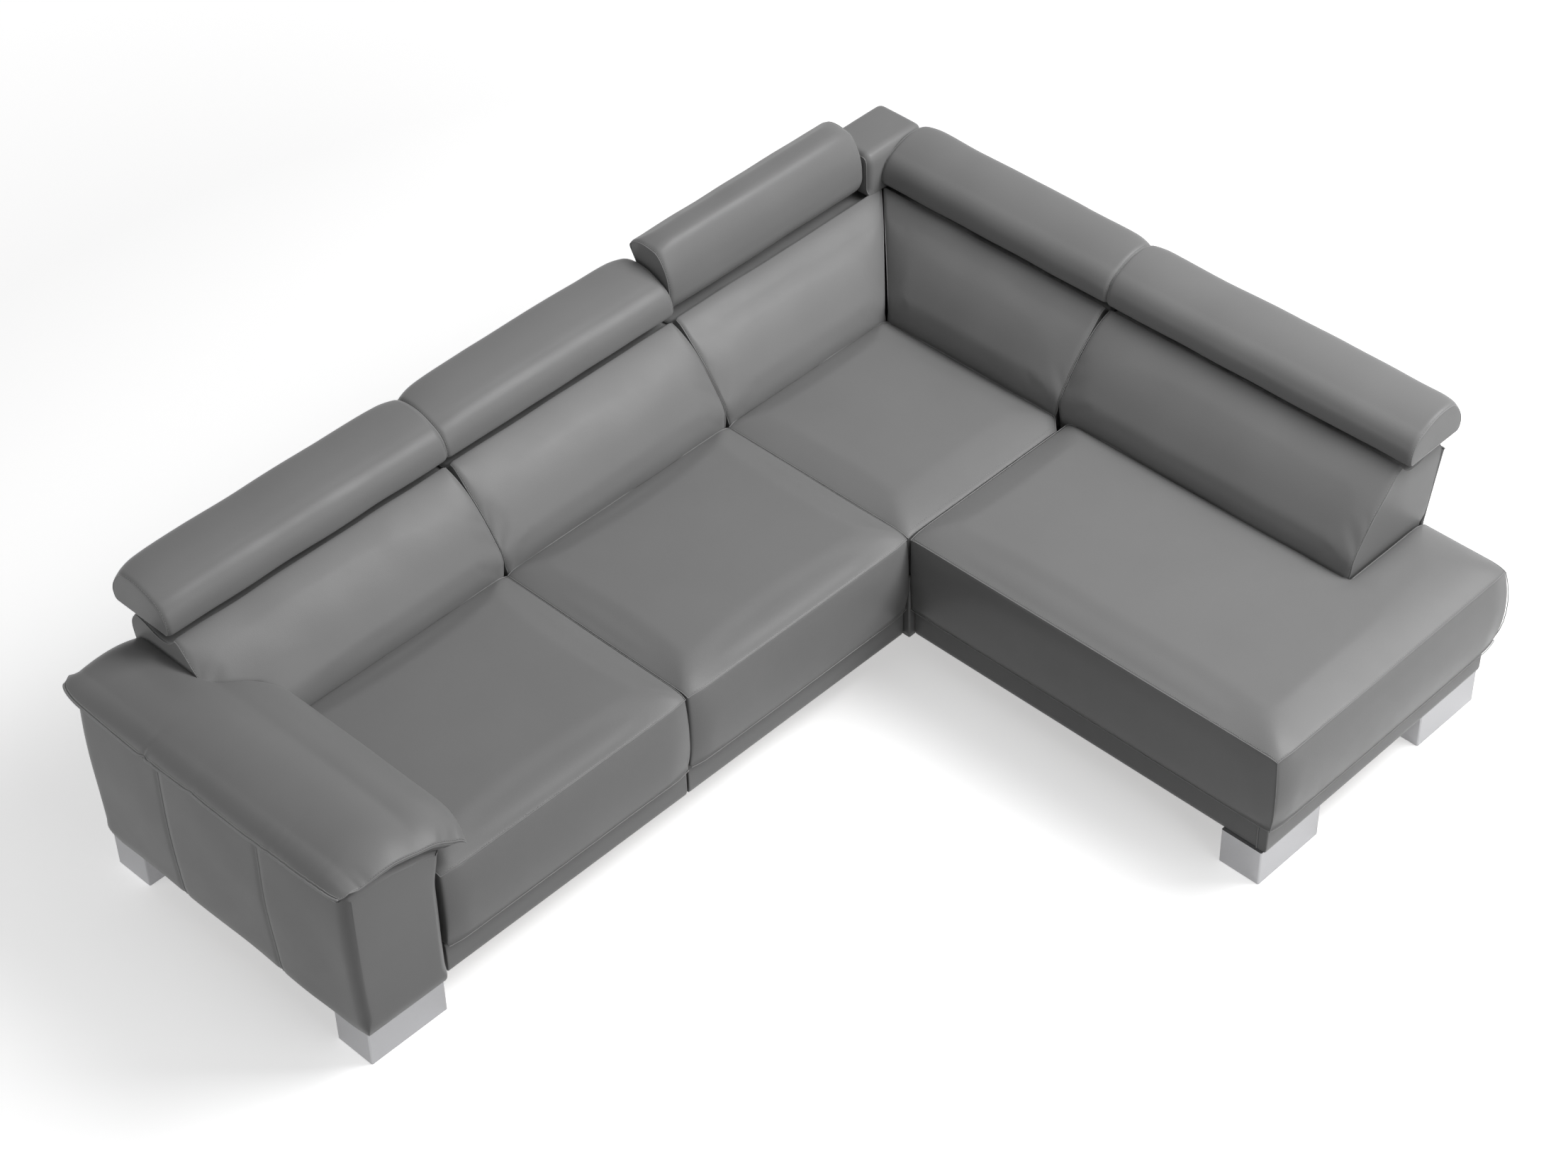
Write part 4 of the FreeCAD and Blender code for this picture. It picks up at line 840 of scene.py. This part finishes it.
def back_section():
    """A back cut across: its foot, lumbar swell, slope and top roll, and the hollow that its rest swings
    through."""
    foot, heel, rim = (0.0, FRAME_TOP), (BACK_REAR, FRAME_TOP), (0.309, BACK_TOP)
    front = drawn(foot, (0.0, BACK_SEAT_HEIGHT), (LUMBAR, WAIST), (SLOPE, ROLL), ((0.163, 0.671), ROLL_END))
    top = drawn(ROLL_END, ((0.196, 0.6545), (0.231, 0.6545)), ((0.252, 0.6545), (0.268, 0.664)), rim)
    rear = drawn(heel, (BACK_REAR, REAR_KNEE), (0.334, REAR_TOP), ((0.328, 0.66), rim))
    return Section(front, top, rear, drawn(foot, heel), (20, 44))


def back(number, start, end, side, mitre=0, wing=None):
    """A back cushion: one panel over its front and top, and a panel at each end."""
    node = f"back_cushion_{number}"
    section = back_section()
    length = end - start

    def place(share, x, point, out):
        setback, height = point
        first, last = start, end
        if mitre > 0:
            last = SHORT_LINE + setback - SEAM_GAP
        if mitre < 0:
            first = -setback + SEAM_GAP
        if wing:
            over = clamped((height - WING_TOP) / 0.006)
            first = wing + (start - wing) * over
        inside = first + SEAM_GAP + (last - first - 2 * SEAM_GAP) * share
        foot = clamped((0.480 - height) / 0.045) if height > 0.43 else 1.0
        crest = clamped((height - 0.612) / 0.055)
        for distance, sign, cornered in ((x, 1, mitre < 0), (length - x, -1, mitre > 0)):
            draw = MITRE_DRAW if cornered else CORNER_DRAW
            inside += sign * beside(distance, CORNER_REACH) ** 2 * draw * max(foot**2, crest**2)
        gathered = sum(beside(d, BACK_GATHER_REACH) ** 2.2 for d in (x, length - x))
        swell = (BACK_SWELL * math.sin(math.pi * share) ** 0.6 - BACK_GATHER * gathered) * front_share(height)
        return side_place(side, inside + out, setback - swell, height)

    piece, seams = upholstered(f"back_{number}_cushion", section, length, place, edge=0.012, draw=0.0045)
    uneven(piece, 0.0030, (7, 7, 2), 10 + number)
    sewn = near_line(seams)

    def held(p):
        along, setback = (p.x, p.y - LONG_LINE) if side == "long" else (LONG_LINE - p.y, p.x - SHORT_LINE)
        ends = along < start + 0.004 or along > end - 0.004 or (mitre and setback > 0.12)
        return ends or setback > 0.17 or p.z < BACK_SEAT_HEIGHT + 0.004 or sewn(p)

    settled(piece, held)
    dressed(piece, seams, node)
    free = [line for line, joined in zip(seams, (mitre < 0, mitre > 0)) if not joined]
    for which, line in enumerate(free, 1):
        front = [p for p in line if 0.45 < p[2] < 0.665][: len(line) // 2]
        stitches(f"back_{number}_stitches_{which}", piece, front, 0.0045 if which == 1 and mitre >= 0 else -0.0045)


def front_share(height):
    """How much a back swells at a height: most just over the seat, not at its foot or top."""
    share = clamped((height - BACK_SEAT_HEIGHT) / (BACK_TOP - BACK_SEAT_HEIGHT))
    return min(1.0, share / 0.05) * (1 - share) ** 0.8


def side_place(side, x, setback, height):
    """A point given along one side of the sofa, behind its line and over the floor."""
    if side == "long":
        return (x, LONG_LINE + setback, height)
    return (SHORT_LINE + setback, LONG_LINE - x, height)


def rest_section():
    """A folded headrest cut across: a blunt nose, a long rounded top and a steep rear."""
    foot, heel, brow, crest = (0.184, 0.6885), (0.354, 0.6885), (0.216, 0.7760), (0.363, 0.770)
    front = drawn(foot, ((0.1740, 0.691), (0.171, 0.700)), (0.1722, 0.714), ((0.183, 0.751), brow))
    top = drawn(brow, ((0.268, 0.7950), (0.326, 0.7960)), ((0.350, 0.790), crest))
    rear = drawn(heel, ((0.370, 0.694), (0.3725, 0.708)), ((0.374, 0.744), crest))
    bottom = drawn(foot, heel)
    return Section(front, top, rear, bottom, (18, 18), ease=0.3, soften=4)


def headrest(number, start, end, side, raised=0.0, crown=0.014, ahead_by=0.0):
    """A headrest: one panel rolled round its board, and a panel at each end."""
    length = end - start
    turn = math.radians(raised)

    def place(share, x, point, out):
        inside = start - REST_OVERHANG + (length + 2 * REST_OVERHANG) * share
        setback, height = point
        full = clamped((height - 0.72) / 0.06)
        height += REST_WAVE * full * noise.noise(Vector((inside * 5.5, number * 3.3, setback * 3)))
        end_distance = min(x, length - x)
        behind, ahead = clamped((setback - 0.25) / 0.12), clamped((0.25 - setback) / 0.08)
        height += full * (0.35 + 0.65 * behind) * (crown * rolled(end_distance, REST_CROWN_REACH) - 0.002)
        setback -= REST_REAR_DRAW * behind * full * beside(end_distance, REST_REAR_REACH) ** 2.2
        setback += REST_FRONT_DRAW * ahead * full * beside(end_distance, REST_FRONT_REACH) ** 2
        setback = float(np.clip(setback, *REST_DEPTHS)) - ahead_by
        if turn:
            a, b = setback - REST_PIVOT[0], height - REST_PIVOT[1]
            setback = REST_PIVOT[0] + a * math.cos(turn) - b * math.sin(turn)
            height = REST_PIVOT[1] + a * math.sin(turn) + b * math.cos(turn)
        return side_place(side, inside + out, setback, height)

    body = f"headrest_{number}"
    piece, seams = upholstered(body, rest_section(), length, place, edge=0.011, draw=0.005, dome=0.001, hold=False)
    uneven(piece, 0.0022, (7, 7, 6), 20 + number)
    dressed(piece, seams, f"headrest_cushion_{number}", body=body)
    for which, line in enumerate(seams, 1):
        stitches(f"{body}_stitches_{which}", piece, line, 0.004 if which == 1 else -0.004, body=body)


# Arm


def arm():
    """The arm's upholstered body, flared over the seat, with the seams and stitches on its outer side."""
    node = "arm_cover"
    low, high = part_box(node)
    shoulder, crest = (-0.0050, 0.556), (0.272, 0.517)
    outer = drawn((0.005, ARM_FOOT), ((-0.0068, 0.333), shoulder))
    top = drawn(shoulder, ((0.000, 0.568), (0.014, 0.5715)), (0.125, 0.565), (0.239, 0.536), crest)
    inner = drawn((0.251, ARM_FOOT), (0.251, ARM_WAIST), ((0.2665, 0.487), crest))
    bottom = drawn((0.005, ARM_FOOT), (0.251, ARM_FOOT))
    section = Section(outer, top, inner, bottom, (22, 36), soften=3)
    length = high.y - low.y

    def place(share, y, point, out):
        x, z = point
        at = low.y + 0.002 + (length - 0.004) * share + out
        groove = sum(SEAM_GROOVE * math.exp(-(((at - seam) / SEAM_GROOVE_WIDTH) ** 2)) for seam in ARM_SEAMS)
        foot = beside(z - ARM_FOOT, ARM_TUCK_HEIGHT) ** 2
        end = beside(min(share, 1 - share), 0.06)
        at += 0.008 * foot * end * (1 if share < 0.5 else -1)
        tuck = foot * (0.003 + 0.006 * end)
        return (ARM_LEFT + x + (groove + tuck if x < 0.1 else -tuck * (x > 0.2)), at, z)

    piece, _ = upholstered(
        "arm_body", section, length, place, edge=0.030, draw=0.021, dome=0.001, pitch=0.009, crisp=0.02
    )
    uneven(piece, 0.0042, (3, 5, 5), 31)
    surface = closest(piece)
    side = spread(outer, shares(60, 0))
    lines = [[surface((ARM_LEFT + x - 0.004, seam, z))[0] for x, z in side] for seam in ARM_SEAMS]
    dressed(piece, lines, node)
    for number, line in enumerate(lines, 1):
        stitches(f"arm_body_stitches_{number}", piece, line, 0.004)


def arm_pad():
    """The saddle over the arm: a top sheet that rolls down to a lip on the outer side, and to a
    narrow boxing at the front, and a sheet below."""
    node = "arm_pad"
    low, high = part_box(node)
    front, rear = low.y + 0.016, high.y
    top_line = drawn(
        PAD_LIP,
        ((-0.010, 0.5815), (0.016, 0.6025)),
        ((0.112, 0.6245), (0.217, 0.602)),
        ((0.301, 0.578), (0.3465, 0.542)),
        ((0.3495, 0.512), PAD_TIP),
    )
    flare = (0.014, 0.5735), (0.125, 0.567), (0.239, 0.538), (0.283, 0.514)
    under_line = drawn(PAD_LIP, (-0.014, 0.560), (0.002, 0.5735), *flare, PAD_TIP)
    # The front boxing's rows: how far back each lies, and its share of the pad's thickness
    boxing = [(0.006, 0.14), (0.002, 0.18), (0.0, 0.26), (0.0, 0.36), (0.0006, 0.42)]
    rows = [front + behind for behind, thick in boxing]
    rows += list(front + 0.004 + shares(140, 0.45) * (rear - front - 0.004))
    count_y, count_x = len(rows) - 1, 60
    vs = shares(count_x, 0.3)
    over = softened(spread(top_line, shares(200, 0)), 12)
    edge_y, edge_z = zip(*PAD_OUTER_EDGE)
    edge_heights = softened(np.interp(rows, edge_y, edge_z)[:, None], 30)[:, 0]

    def reach(y):
        """How much of the pad's width is left beside the back."""
        t = clamped((y - PAD_WING_START) / PAD_WING_LENGTH)
        t = t * t * (3 - 2 * t)
        return 1 - (1 - PAD_WING / PAD_REACH) * t

    creases = pad_creases(front)
    points, numbers = [], {}
    for i, y in enumerate(rows):
        lead = boxing[i][1] if i < len(boxing) else 0.42 + 0.58 * rolled(y - front, PAD_FRONT_ROUND)
        ends = min(lead, rounded(rear - y, PAD_REAR_ROUND))
        share = reach(y)
        width, lower = spread(over, vs * share), spread(under_line, vs * share)
        turn = 0.006 * (1 - rounded(y - front, 0.05)) + 0.022 * (1 - rounded(rear - y, 0.09))
        for j in range(count_x + 1):
            inner = 0.4 + 0.6 * rounded((1 - vs[j]) * share * PAD_REACH, PAD_TIP_ROUND) if share < 0.98 else 1.0
            thick = max(ends * inner, PAD_LEAST)
            across = vs[j] * share * PAD_REACH
            skirt = beside(across, PAD_SKIRT)
            drop = (edge_heights[i] - PAD_EDGE_LEVEL) * skirt
            inward = turn * skirt - 0.012 * vs[j] ** 3 * (1 - rounded(y - front, 0.09))
            x, z = lower[j] + (width[j] - lower[j]) * thick
            crease = creases(y, across)
            back = 0.018 * (1 - rounded(across + 0.004, 0.06)) * (1 - rounded(y - front, 0.12))
            ahead = 0.014 * (1 - rounded(across + 0.004, 0.05)) * (1 - rounded(rear - y, 0.08))
            y_here = y + back - ahead
            numbers["over", i, j] = len(points)
            sunk = crease * skirt, crease * (1 - ends), -crease * (1 - skirt)
            points.append((ARM_LEFT + x + inward + sunk[0], y_here + sunk[1], z + drop + sunk[2]))
            numbers["under", i, j] = len(points)
            rim = i in (0, count_y) or j in (0, count_x)
            x, z = lower[j] + (width[j] - lower[j]) * (thick * 0.3 if rim else 0.0)
            points.append((ARM_LEFT + x + inward, max(y_here, front + 0.012 + back), z + drop * (1 if rim else 0.4)))
    faces = []
    for i in range(count_y):
        for j in range(count_x):
            for side in ("over", "under"):
                corners = (i, j), (i, j + 1), (i + 1, j + 1), (i + 1, j)
                faces.append(tuple(numbers[side, *c] for c in corners))
    rim = [(i, 0) for i in range(count_y)] + [(count_y, j) for j in range(count_x)]
    rim += [(i, count_x) for i in range(count_y, 0, -1)] + [(0, j) for j in range(count_x, 0, -1)]
    for a, b in zip(rim, rim[1:] + rim[:1]):
        faces.append((numbers["over", *a], numbers["over", *b], numbers["under", *b], numbers["under", *a]))
    piece = skin("arm_pad_cushion", points, faces, LEATHER)
    uneven(piece, 0.002, (5, 5, 5), 32)
    outer = [piece.data.vertices[numbers["over", i, 0]].co.copy() for i in range(3, count_y + 1)]
    outer += [piece.data.vertices[numbers["over", count_y, j]].co.copy() for j in range(1, count_x)]
    brow = [piece.data.vertices[numbers["over", 3, j]].co.copy() for j in range(count_x + 1)]
    dressed(piece, [brow], node)
    seam_line("arm_pad_lip", outer, 0.0034)
    near = closest(piece)
    inset = [near(p + Vector((0.004, 0, 0.006)))[0] for p in outer]
    seam_line("arm_pad_lip_seam", inset, 0.0012)
    stitches("arm_pad_stitches", piece, brow, -0.004)


def pad_creases(front):
    """Soft creases in the pad's leather, which run in from its outer seam and over its front fold."""
    chance = random.Random(11)

    def creases(places, low, high, deep):
        return [
            (
                chance.gauss(chance.choice(places), 0.022),
                chance.uniform(0.004, 0.009),
                chance.uniform(low, high),
                chance.uniform(0.4, 1.0) * deep,
                chance.uniform(-0.25, 0.25),
            )
            for _ in range(5 * len(places))
        ]

    side = creases((front + 0.07, front + 0.20, 0.36, 0.52, 0.70), 0.04, 0.09, 0.0022)
    fold = creases((0.05, 0.27, 0.32), 0.02, 0.045, 0.0022)

    def depth(y, across):
        total = 0.0
        for rows, at, away in ((side, y, across), (fold, across, y - front)):
            for place, width, length, deep, lean in rows:
                total += deep * math.exp(-(((at - place - lean * away) / width) ** 2) - (away / length) ** 2)
        return total

    return depth


# Base panels, rear panels and corner pad


def lined_panel(node, across):
    """A thinly padded panel under a seat."""
    low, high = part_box(node)
    size = high - low
    along, thick = (0, 1) if across == "y" else (1, 0)
    length, depth, tall = size[along], size[thick] - 0.001, size.z
    front = drawn((0.003, 0.0), (0.0, 0.010), (-0.0005, tall / 2), (0.0, tall - 0.010), (0.004, tall))
    top = drawn((0.004, tall), (depth, tall))
    section = Section(
        front, top, drawn((depth, 0.0), (depth, tall)), drawn((0.003, 0.0), (depth, 0.0)), (6, 22), ease=0.3, soften=1
    )
    flip = node.endswith("_right")

    def place(share, x, point, out):
        inward = point[0] + 0.0008
        where = [0.0, 0.0, low.z + point[1]]
        where[along] = low[along] + 0.001 + (length - 0.002) * share + out
        where[thick] = low[thick] + (size[thick] - inward if flip else inward)
        return tuple(where)

    piece, _ = upholstered(node + "_cover", section, length, place, edge=0.004, draw=0.0015, hold=False, pitch=0.02)
    dressed(piece, [], node)


def panel_corners():
    """The upright seams where the lounger's front panel meets its side panels."""
    low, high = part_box("base_panel_lounger_front")
    for name, x in (("left", low.x + 0.0004), ("right", high.x - 0.0004)):
        line = [(x, high.y, z) for z in np.linspace(low.z + 0.002, high.z - 0.001, 12)]
        seam_line(f"base_panel_corner_seam_{name}", line, 0.0016)


def rear_panel(name, node, start, end, side, seams_at):
    """The leather panel behind a row of backs, sewn where its modules meet."""
    foot, inner, outer = 0.1045, (0.3335, 0.630), (0.3435, 0.634)
    front = drawn((0.2845, foot), (0.2845, REAR_KNEE), inner)
    rear = drawn((0.2895, foot), (0.2895, REAR_KNEE), outer)
    bottom = drawn((0.2845, foot), (0.2895, foot))
    section = Section(front, drawn(inner, outer), rear, bottom, (3, 60), ease=0.1, soften=2)
    corner = side == "long"

    def place(share, x, point, out):
        setback, height = point
        first, last = start, end
        if corner:
            last = SHORT_LINE + setback - 0.001
            by_arm = clamped((height - 0.40) / 0.10) * (1 - clamped((height - 0.575) / 0.006))
            first = start + 0.015 * by_arm
        else:
            first = -setback + 0.001
        at = first + (last - first) * share
        groove = sum(0.003 * math.exp(-(((at - seam) / 0.006) ** 2)) for seam in seams_at)
        swell = 0.0025 * math.sin(math.pi * clamped((height - 0.11) / 0.52))
        return side_place(side, at + out, setback + (swell - groove if setback > 0.2865 else 0.0), height)

    piece, _ = upholstered(name, section, end - start, place, edge=0.004, draw=0.0012, hold=False, pitch=0.016)
    uneven(piece, 0.0016, (5, 5, 3), 50 + len(seams_at))
    dressed(piece, [], node)
    surface = closest(piece)
    rise = spread(rear, shares(50, 0))
    for number, seam in enumerate(seams_at, 1):
        line = [surface(side_place(side, seam, a + 0.004, b))[0] for a, b in rise]
        seam_line(f"{name}_seam_{number}", line)
    edge_start, edge_end = (start, 1.345) if corner else (-0.34, end)
    places = np.linspace(edge_start, edge_end, 60)
    edge = [surface(side_place(side, x, 0.341, REAR_TOP))[0] for x in places]
    seam_line(f"{name}_top_piping", edge, 0.0024)


def corner_strip():
    """The leather round the corner module's front post, seen between the two base panels."""
    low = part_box("base_frame_corner")[0]
    face, side = low.y - 0.0022, low.x - 0.0026
    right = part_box("base_panel_lounger_left")[0].x + 0.004
    thick = 0.0018
    fold = (side + 0.001, face + 0.001), (side, face + 0.004)
    outer = spread(drawn((right, face), (side + 0.004, face), fold, (side, low.y + 0.045)), shares(24, 0))
    inner = outer + [(thick, thick)] * len(outer)
    inner[:, 0], inner[:, 1] = np.maximum(inner[:, 0], side + thick), np.maximum(inner[:, 1], face + thick)
    inner[0, 0] = right
    ring = np.concatenate([outer, inner[::-1]])
    heights = low.z + 0.0005 + shares(14, 0.2) * (FRAME_TOP + 0.012 - low.z)
    points = [(x, y, z) for z in heights for x, y in ring]
    count, half = len(ring), len(outer)
    faces = []
    for k in range(len(heights) - 1):
        for i in range(count):
            a, b = k * count + i, k * count + (i + 1) % count
            faces.append((a, b, b + count, a + count))
    for base in (0, (len(heights) - 1) * count):
        for i in range(half - 1):
            faces.append((base + i, base + i + 1, base + count - 2 - i, base + count - 1 - i))
    piece = skin("corner_post_leather", points, faces, LEATHER)
    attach(piece, "root")


def corner_pad():
    """The square filler between the two headrests of the corner."""
    node = "corner_pad"
    low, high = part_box(node)
    depth, tall = high.y - low.y, high.z - low.z
    front = drawn((0.0, 0.0), (0.0, tall - 0.022), ((0.006, tall - 0.006), (0.022, tall)))
    top = drawn((0.022, tall), (depth / 2, tall), (depth - 0.022, tall))
    rear = drawn((depth, 0.0), (depth, tall - 0.022), ((depth - 0.006, tall - 0.006), (depth - 0.022, tall)))
    bottom = drawn((0.0, 0.0), (depth, 0.0))
    section = Section(front, top, rear, bottom, (14, 12), ease=0.4, soften=2)
    length = high.x - low.x

    def place(share, x, point, out):
        y, z = point
        rise = 0.004 * math.sin(math.pi * share) * math.sin(math.pi * clamped(y / depth))
        return (low.x + 0.003 + (length - 0.006) * share + out, low.y + y, low.z + z - (0.004 - rise) * (z / tall))

    piece, seams = upholstered(
        "corner_filler_pad", section, length, place, edge=0.016, draw=0.011, dome=0.0025, pitch=0.012
    )
    uneven(piece, 0.0012, (7, 7, 7), 41)
    dressed(piece, seams, node)


# Room, lamps and camera


def background_rays(tree):
    """1 for the rays that show the background: the camera's own, off a gloss and through glass."""
    path = add(tree, "LightPath").outputs
    seen = math_node(tree, "MAXIMUM", path["Is Camera Ray"], path["Is Glossy Ray"])
    return math_node(tree, "MAXIMUM", seen, path["Is Transmission Ray"])


def floor():
    """A wide pale floor that shows white but keeps the sofa's shadow."""
    material, tree, body = shader("pale_floor")
    rays = background_rays(tree)
    away = add(tree, "VectorMath", {"operation": "LENGTH"}, _0=own_place(tree)).outputs["Value"]
    glow = add(tree, "MapRange", Value=away, From_Min=3.0, From_Max=7.0, To_Min=0.50, To_Max=1.0)
    feed(
        tree,
        body,
        Base_Color=mapped(tree, rays, 0.24, 0.92),
        Roughness=0.9,
        Specular_IOR_Level=0.0,
        Emission_Color=(1, 1, 1, 1),
        Emission_Strength=math_node(tree, "MULTIPLY", glow.outputs["Result"], rays),
    )
    reach, level = 30.0, -0.0005
    corners = [(x * reach, y * reach, level) for x, y in ((-1, -1), (1, -1), (1, 1), (-1, 1))]
    skin("floor", corners, [(0, 1, 2, 3)], material)


def surroundings():
    """Even light from all round, white wherever the camera or a gloss looks past the floor."""
    world = bpy.data.worlds.new("studio")
    bpy.context.scene.world = world
    world.use_nodes = True
    tree = world.node_tree
    strength = mapped(tree, background_rays(tree), 0.10, 1.0)
    feed(tree, tree.nodes["Background"], Strength=strength, Color=(1, 1, 1, 1))


def softbox(name, place, aim, size, power):
    lamp = bpy.data.lights.new(name, "AREA")
    lamp.shape = "RECTANGLE"
    lamp.size, lamp.size_y = size
    lamp.energy = power
    holder = shown(name, lamp)
    holder.location = place
    holder.rotation_mode = "QUATERNION"
    holder.rotation_quaternion = (Vector(aim) - Vector(place)).to_track_quat("-Z", "Y")


def lamps():
    softbox("key_softbox", (2.7, -2.2, 4.7), (0.1, 0.2, 0.4), (3.0, 3.0), 265)
    softbox("front_fill", (0.6, -6.4, 2.7), (0.0, 0.2, 0.4), (5.0, 2.2), 116)
    softbox("top_softbox", (-0.2, 0.4, 5.4), (-0.1, 0.2, 0.3), (4.0, 4.0), 32)
    softbox("left_fill", (-5.0, 2.4, 0.9), (-0.4, 0.0, 0.5), (2.6, 0.8), 52)


def camera():
    """The photograph's view: from the front left, high above the sofa."""
    place = Vector((-4.17735, -4.09958, 5.92707))
    yaw, pitch, roll = 0.7854, 0.739, -0.0271
    ahead = Vector((math.sin(yaw) * math.cos(pitch), math.cos(yaw) * math.cos(pitch), -math.sin(pitch)))
    level = Vector((math.cos(yaw), -math.sin(yaw), 0))
    upright = level.cross(ahead)
    right = level * math.cos(roll) + upright * math.sin(roll)
    up = upright * math.cos(roll) - level * math.sin(roll)
    lens = bpy.data.cameras.new("camera")
    lens.sensor_width = 36
    lens.lens = 79.15
    lens.clip_end = 100
    holder = shown("camera", lens)
    holder.matrix_world = Matrix.Translation(place) @ Matrix((right, up, -ahead)).transposed().to_4x4()
    bpy.context.scene.camera = holder


# Assembly

for number in (1, 2):
    long_seat(number)
corner_seat()
lounger_seat()

back(1, -1.159, -0.331, "long", wing=-1.069)
back(2, -0.329, 0.420, "long")
back(3, 0.422, 1.150, "long", mitre=1)
back(4, -0.140, 0.580, "short", mitre=-1)
back(5, 0.582, 1.486, "short")

headrest(1, -1.164, -0.332, "long")
headrest(2, -0.328, 0.419, "long")
headrest(3, 0.4258, 1.118, "long", raised=62)
headrest(4, -0.172, 0.579, "short", crown=0.002, ahead_by=0.006)
headrest(5, 0.5842, 1.503, "short", crown=0.001, ahead_by=0.006)

arm()
arm_pad()
for node in [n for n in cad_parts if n.startswith("base_panel")]:
    lined_panel(node, "x" if node.endswith(("_left", "_right")) else "y")
panel_corners()
corner_strip()
rear_panel("rear_panel_long_leather", "rear_panel_long", -1.091, 1.30, "long", (-0.330, 0.421))
rear_panel("rear_panel_short_leather", "rear_panel_short", -0.29, 1.486, "short", (0.581,))
corner_pad()

floor()
surroundings()
lamps()
camera()
bpy.context.scene.view_settings.view_transform = "Standard"
